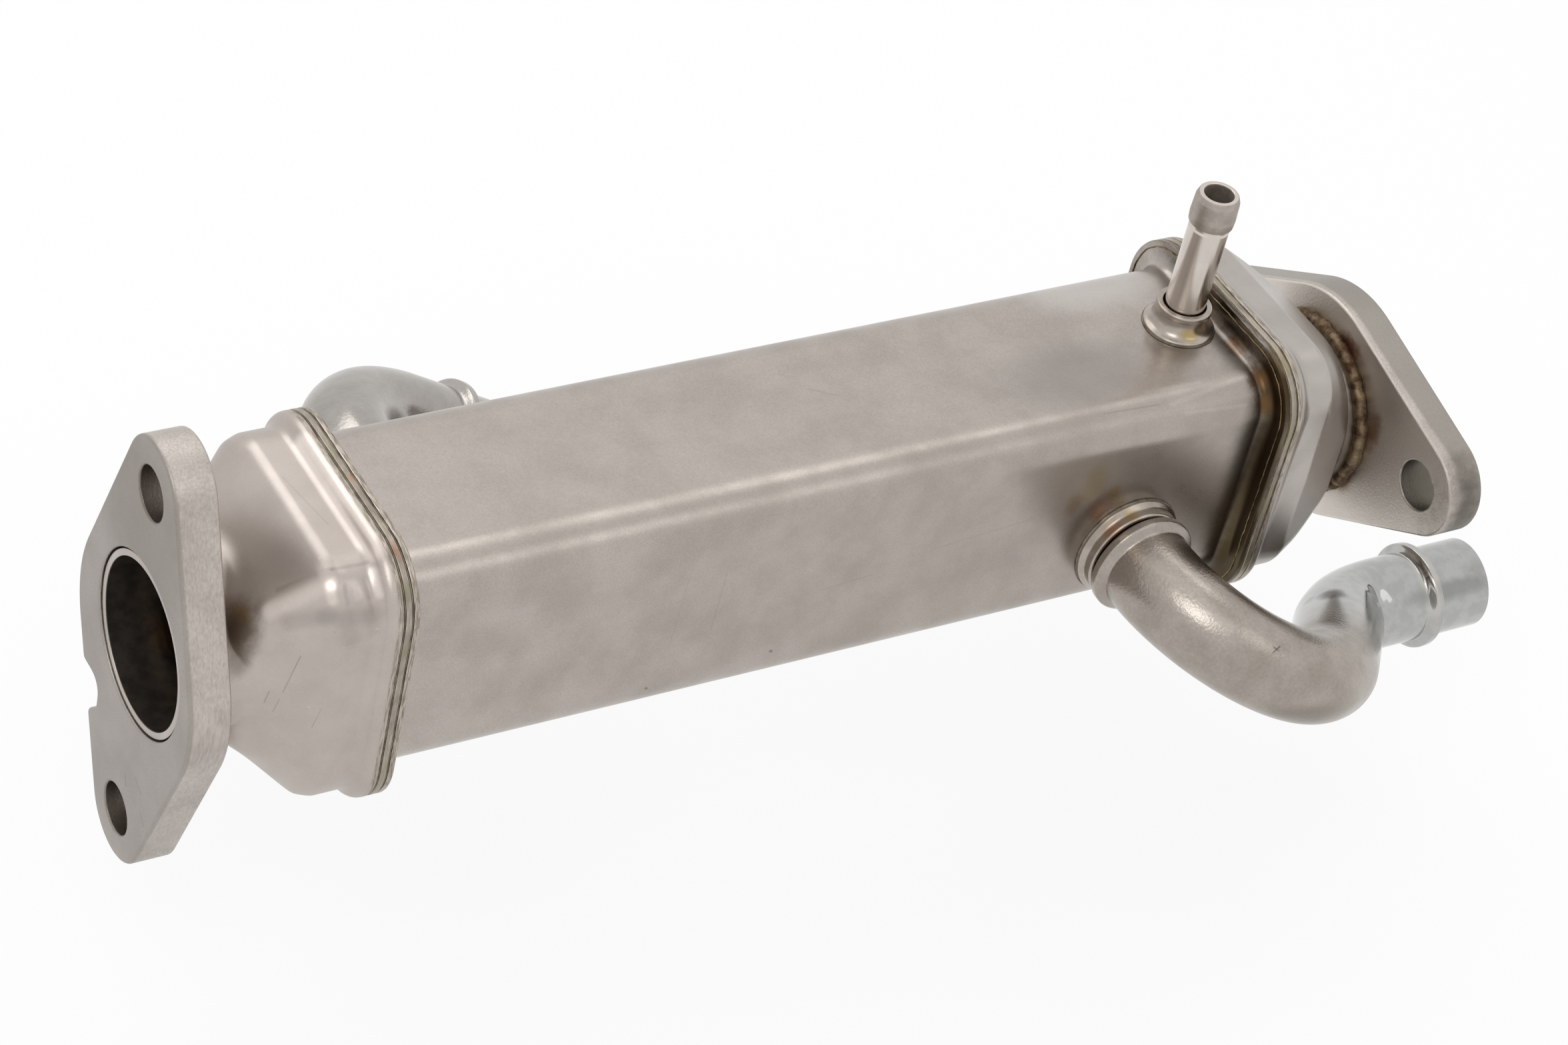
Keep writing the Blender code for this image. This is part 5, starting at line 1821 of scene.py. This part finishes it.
FLANGE_MARKS = scratches_and_painted_light(
    (0.0, -5.0, -27.5, 0.0, -8.0, -29.0, 0.20, 0.70),
    (0.0, -8.5, -33.0, 0.0, -10.5, -34.5, 0.20, 0.72),
    (0.0, -1.0, -30.5, 0.0, -2.0, -32.5, 0.18, 0.62))
# A painted highlight along the pipe's top, then two dark scratches.
PIPE_MARKS_AND_PAINTED_HIGHLIGHT = scratches_and_painted_light(
    (192.7, -37.0, -1.0, 199.0, -52.5, -4.4, 2.3, 1.22),
    (206.5, -58.8, -7.6, 208.3, -58.3, -7.0, 0.24, 0.45),
    (207.9, -58.9, -7.7, 206.9, -58.2, -6.9, 0.22, 0.50))

LAYERS = Change("sheared", "#b8afa4", "#857b6f", 0.38, layer_pitch=0.26)
SOOT = Change("sooted", "#3b342e", "#2b2622", 0.42, metal=0.35)
DULL_BORE = Change("inside", "#8d837a", "#776d64", 0.45, metal=0.35)
MATT_BAND = Change("matt", "#b1a8a0", "#a39b93", 0.46)
DRAWN_SMOOTH = Change("smooth", "#b2b2b0", "#a9a9a7", 0.12, calm=0.97)

# Cold-rolled and brushed stainless, furnace brazed: an even satin with a soft, narrow highlight.
SHELL_STEEL = SteelFinish("satin_rolled_stainless_shell", "#b4aca5", "#a79f98", 0.30,
                          roughness_spread=0.10, speckle=0.08, tints_and_painted_light=SHELL_TINTS_AND_PAINTED_LIGHT,
                          changes=(LAYERS,), scratches_and_painted_light=SHELL_MARKS_AND_PAINTED_HIGHLIGHTS)
# The same sheet, pressed, with folds in its corners and drag marks from the die; its base colour is
# painted a little brighter than the shell's as painted light, and its marks and tints add painted
# highlights and painted shade.
HEADER_STEEL = SteelFinish("pressed_stainless_header", "#bcb3ac", "#b3aaa3", 0.36,
                           pit_spacing=12.0, pit_depth=0.02, scratch_share=0.03,
                           tints_and_painted_light=HEADER_TINTS_AND_PAINTED_SHADE, changes=(LAYERS, SOOT), scratches_and_painted_light=HEADER_MARKS_AND_PAINTED_LIGHT)
OUTLET_STEEL = SteelFinish("pressed_stainless_outlet_header", "#b4aea8", "#aaa49e", 0.33,
                           pit_spacing=12.0, pit_depth=0.02, scratch_share=0.02,
                           tints_and_painted_light=OUTLET_TINTS_AND_PAINTED_SHADE, changes=(LAYERS, SOOT))
# Plate, cut to shape and blasted: fine even grit on the faces, coarser marks down the cut sides.
FLANGE_STEEL = SteelFinish("blasted_plate_steel_flange", "#beb6af", "#b0a8a1", 0.42, grit=0.42,
                           grit_depth=0.055, speckle=0.13, side_grain=Grain.ALONG_Z,
                           pit_spacing=9.0, pit_size=0.34, pit_depth=0.03, scratch_share=0.03,
                           tints_and_painted_light=FLANGE_TINTS_AND_PAINTED_LIGHT, scratches_and_painted_light=FLANGE_MARKS)
# Turned on a lathe: the brightest, with a sharp streak down its length.
TURNED_STEEL = SteelFinish("turned_stainless_fitting", "#d2cac2", "#c8c0b8", 0.20,
                           grit_depth=0.003, wave_depth=0.01, speckle=0.02, tints_and_painted_light=TURNED_TINTS,
                           changes=(MATT_BAND, DULL_BORE))
# Turned as well, but stained in the furnace with the shell.
COLLAR_STEEL = replace(TURNED_STEEL, name="turned_stainless_collar", light="#b2aaa1",
                       dark="#9d948a", roughness=0.26, mottle=4.0)
# Drawn tube: grainy where it was blasted with the shell, smooth and cooler towards its free end.
PIPE_STEEL = SteelFinish("drawn_stainless_tube", "#a9a199", "#999188", 0.27, grit=0.60,
                         grit_depth=0.060, speckle=0.07, mottle=8.0, tints_and_painted_light=PIPE_TINTS_AND_PAINTED_LIGHT,
                         changes=(DRAWN_SMOOTH,), scratches_and_painted_light=PIPE_MARKS_AND_PAINTED_HIGHLIGHT)
# Inside the gas side: the tubes and baffles carry soot and scale.
CORE_STEEL = SteelFinish("sooted_core_stainless", "#5a5148", "#38312b", 0.55)
# The tube sheets' sheared edges: striped along the rim, with the braze's colours.
SHEET_STEEL = SteelFinish("brazed_tube_sheet_edge", "#b0a79b", "#8e8579", 0.38, grit=0.24,
                          speckle=0.22, grain=Grain.ACROSS_X,
                          tints_and_painted_light=INLET_RIM_TINTS + OUTLET_RIM_TINTS)
# Nickel braze that wicked into the joints: thin, dark and matt, or straw where it ran thinnest.
BRAZE = SteelFinish("nickel_braze_fillet", "#8c8374", "#5a5246", 0.45, mottle=3.0)
GOLD_BRAZE = SteelFinish("straw_tinted_braze_line", "#948260", "#5a4a30", 0.42, mottle=2.4)
# A hand-fed weld: dull straw ripples with rust-brown scale between them.
WELD = SteelFinish("tig_weld_bead", "#8b7b63", "#493224", 0.52, mottle=2.4, speckle=0.14)


@dataclass(frozen=True)
class Lamp:
    """A soft rectangular lamp that faces the object's middle."""

    name: str
    place: Place
    size: Pair
    power: float

    def build(self, middle: Vector) -> None:
        """Hang the lamp at its place from the middle."""
        data = bpy.data.lights.new(self.name, "AREA")
        data.shape = "RECTANGLE"
        data.size, data.size_y = self.size
        data.energy = self.power
        holder = bpy.data.objects.new(self.name, data)
        holder.location = middle + Vector(self.place)
        holder.rotation_mode = "QUATERNION"
        holder.rotation_quaternion = (-Vector(self.place)).to_track_quat("-Z", "Y")
        link(holder)


@dataclass
class Studio:
    """The camera at the photograph's angle, the lamps, the world and the floor."""

    eye: Place = (-0.25005, -0.48288, 0.49982)
    right: Place = (0.8567, -0.4807, 0.1872)
    up: Place = (0.1915, 0.6333, 0.7499)
    focal_pixels: float = 6342.4
    image_width: float = 2352.0
    sensor: float = 36.0
    clip_start: float = 0.01
    middle: Place = (0.14, 0.0, 0.0)
    lamps: tuple[Lamp, ...] = (Lamp("strip", (0.40, 0.27, 0.87), (0.55, 0.22), 0.42),
                               Lamp("back", (-0.14, 0.70, 0.80), (0.70, 0.40), 1.40),
                               Lamp("edge", (0.34, -0.66, 0.72), (0.42, 0.36), 0.30),
                               Lamp("front", (-0.52, -0.42, 0.84), (0.46, 0.46), 1.50))
    world_light: float = 0.90
    world_seen: float = 0.98
    floor_drop: float = 0.030
    floor_half: float = 3.0
    floor_pale: float = 0.84
    floor_glow: float = 0.985

    def build(self) -> None:
        """Set up the camera, the lamps, the world and the floor."""
        scene = bpy.context.scene
        scene.view_settings.view_transform = "Standard"
        right = Vector(self.right).normalized()
        up = Vector(self.up)
        up = (up - right * up.dot(right)).normalized()
        data = bpy.data.cameras.new("camera")
        data.sensor_width = self.sensor
        data.lens = self.focal_pixels * self.sensor / self.image_width
        data.clip_start = self.clip_start
        camera = bpy.data.objects.new("camera", data)
        turn = Matrix((right, up, right.cross(up))).transposed()
        camera.matrix_world = Matrix.Translation(self.eye) @ turn.to_4x4()
        scene.camera = link(camera)
        for lamp in self.lamps:
            lamp.build(Vector(self.middle))
        self._world()
        self._floor()

    def _seen(self, nodes: Nodes) -> Socket:
        """Whether a ray comes from the camera, a reflection or through something clear."""
        path = add_node(nodes.tree, "ShaderNodeLightPath").outputs
        seen = nodes.math("MAXIMUM", path["Is Camera Ray"], path["Is Glossy Ray"])
        return nodes.math("MAXIMUM", seen, path["Is Transmission Ray"])

    def _world(self) -> None:
        """Light the object softly, and show a pale background to the camera and in reflections."""
        world = bpy.data.worlds.new("studio")
        world.use_nodes = True
        nodes = Nodes(world.node_tree)
        strength = nodes.ramp(self._seen(nodes), (0.0, 1.0), (self.world_light, self.world_seen))
        set_inputs(nodes.tree.nodes["Background"],
                   {"Strength": strength, "Color": hex_to_linear("#ffffff")})
        bpy.context.scene.world = world

    def _floor(self) -> None:
        """Lay a plain pale floor, which keeps the object's shadow, under the object."""
        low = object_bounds()[0].z - self.floor_drop
        corners = [(x * self.floor_half, y * self.floor_half, low)
                   for x, y in ((-1, -1), (1, -1), (1, 1), (-1, 1))]
        mesh = bpy.data.meshes.new("floor")
        mesh.from_pydata(corners, [], [(0, 1, 2, 3)])
        material = bpy.data.materials.new("pale_studio_floor")
        material.use_nodes = True
        nodes = Nodes(material.node_tree)
        shader = nodes.tree.nodes["Principled BSDF"]
        set_inputs(shader, {"Base Color": hex_to_linear("#fbfafa"), "Roughness": 0.9,
                            "Specular IOR Level": 0.0})
        pale = add_node(nodes.tree, "ShaderNodeEmission",
                        {"Color": hex_to_linear("#ffffff"), "Strength": self.floor_glow})
        share = nodes.math("MULTIPLY", self._seen(nodes), self.floor_pale)
        mixed = add_node(nodes.tree, "ShaderNodeMixShader",
                         {0: share, 1: shader.outputs[0], 2: pale.outputs[0]})
        set_inputs(nodes.tree.nodes["Material Output"], {"Surface": mixed.outputs[0]})
        mesh.materials.append(material)
        link(bpy.data.objects.new("floor", mesh))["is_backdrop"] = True


def build_pipes(material: Material) -> None:
    """Build the two coolant pipes."""
    front = CoolantPipe("front_coolant_pipe", FRONT_SEAT + Y_AXIS * PIPE_SUNK, -Y_AXIS,
                        smooth_from=0.062, smooth_over=0.022, pinch=0.0016)
    tilt = math.radians(-26.0)
    front.straight(PIPE_SUNK + 0.0095)
    front.bend(0.0245, math.radians(132.8), Vector((math.cos(tilt), 0, math.sin(tilt))))
    front.straight(0.0222)
    front.bend(0.0200, front.end()[1].angle(X_AXIS), X_AXIS)
    front.straight(0.0222)
    front.build(material)
    rear = CoolantPipe("rear_coolant_pipe", REAR_SEAT - Y_AXIS * PIPE_SUNK, Y_AXIS,
                       smooth_from=-0.020, smooth_share=0.4)
    tilt = math.radians(-28.0)
    rear.straight(PIPE_SUNK + 0.0111)
    rear.bend(0.0200, math.radians(95.0), Vector((math.cos(tilt), 0, math.sin(tilt))))
    rear.straight(0.0250)
    rear.build(material)


def build_seams(bosses: Sequence[PipeBoss], nipple: BleedNipple, outlet: OutletHeader) -> None:
    """Lay the braze and weld beads.

    Args:
        bosses: The pipes' collars.
        nipple: The bleed nipple.
        outlet: The outlet header, whose neck is welded to its flange.
    """
    tree = bead_tree()
    braze, gold, weld_steel = BRAZE.build(), GOLD_BRAZE.build(), WELD.build()
    for boss in bosses:
        Bead(boss.node + "_braze", boss.seam(boss.foot - 0.0001, 0.0001), 0.00030, wander=0.0003,
             seed=2.0).build(tree, braze)
    Bead("nipple_boss_braze", nipple.seam(nipple.boss_foot, 0.0001), 0.00022, wander=0.0002,
         seed=5.0).build(tree, braze)
    rim = shell_section(PLAN.rim_overhang - 0.00024)
    seams = (("inlet_rim_braze_1", PLAN.inlet_rim + PLAN.seam / 2),
             ("inlet_rim_braze_2", PLAN.shell_start - PLAN.seam / 2),
             ("outlet_rim_braze_1", PLAN.shell_end + PLAN.seam / 2),
             ("outlet_rim_braze_2", PLAN.outlet_rim - PLAN.seam / 2))
    for number, (name, place) in enumerate(seams):
        Bead(name, ring_at(place, rim), 0.00016, ragged_depth=0.5,
             seed=7.0 + number).build(tree, braze)
    line = ring_at(PLAN.shell_end - PLAN.shell_wall - 0.00005, shell_section(0.0040))
    Bead("outlet_shell_braze", line, 0.00016, wander=0.0005, ragged_depth=1.9,
         ragged_size=0.0024, seed=12.0).build(tree, gold)
    ring = circle(360) * (outlet.neck_radius + 0.0004) + outlet.shift
    Bead("outlet_neck_weld", ring_at(outlet.flange_back - 0.0010, ring), 0.00150,
         ripple_pitch=0.0034, ripple_depth=0.14, ragged_depth=0.8, ragged_size=0.0022,
         wander=0.0009, seed=21.0).build(tree, weld_steel)


def main() -> None:
    """Build the cooler round its frame, in order."""
    logging.basicConfig(level=logging.INFO, format="%(name)s %(message)s")
    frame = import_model()
    LOG.info("frame: %d nodes", len(frame["nodes"]))
    Studio().build()
    core = CORE_STEEL.build()
    for name in ("support_baffle_1", "support_baffle_2"):
        node = frame["nodes"][name]
        node.data.materials.clear()
        node.data.materials.append(core)
    Shell().build(SHELL_STEEL.build())
    TubeBundle().build(bundle_tree(), core, SHEET_STEEL.build())
    InletHeader().build(HEADER_STEEL.build())
    outlet = OutletHeader()
    outlet.build(OUTLET_STEEL.build())
    flange_steel = FLANGE_STEEL.build()
    Flange("inlet_flange", 0.0, (0.0016, -0.0041), 0.0737, math.radians(89.1), (0.0, 0.0), 0.0173,
           notched=True).build(flange_steel)
    Flange("outlet_flange", outlet.flange_back, outlet.shift, 0.0700, math.radians(170.5),
           outlet.shift, 0.0167).build(flange_steel)
    collar = COLLAR_STEEL.build()
    bosses = [PipeBoss("front_pipe_boss", FRONT_SEAT, -Y_AXIS),
              PipeBoss("rear_pipe_boss", REAR_SEAT, Y_AXIS)]
    for boss in bosses:
        boss.build(collar)
    nipple = BleedNipple(NIPPLE_SEAT)
    nipple.build(TURNED_STEEL.build(), collar)
    build_pipes(PIPE_STEEL.build())
    build_seams(bosses, nipple, outlet)


if __name__ == "__main__":
    main()
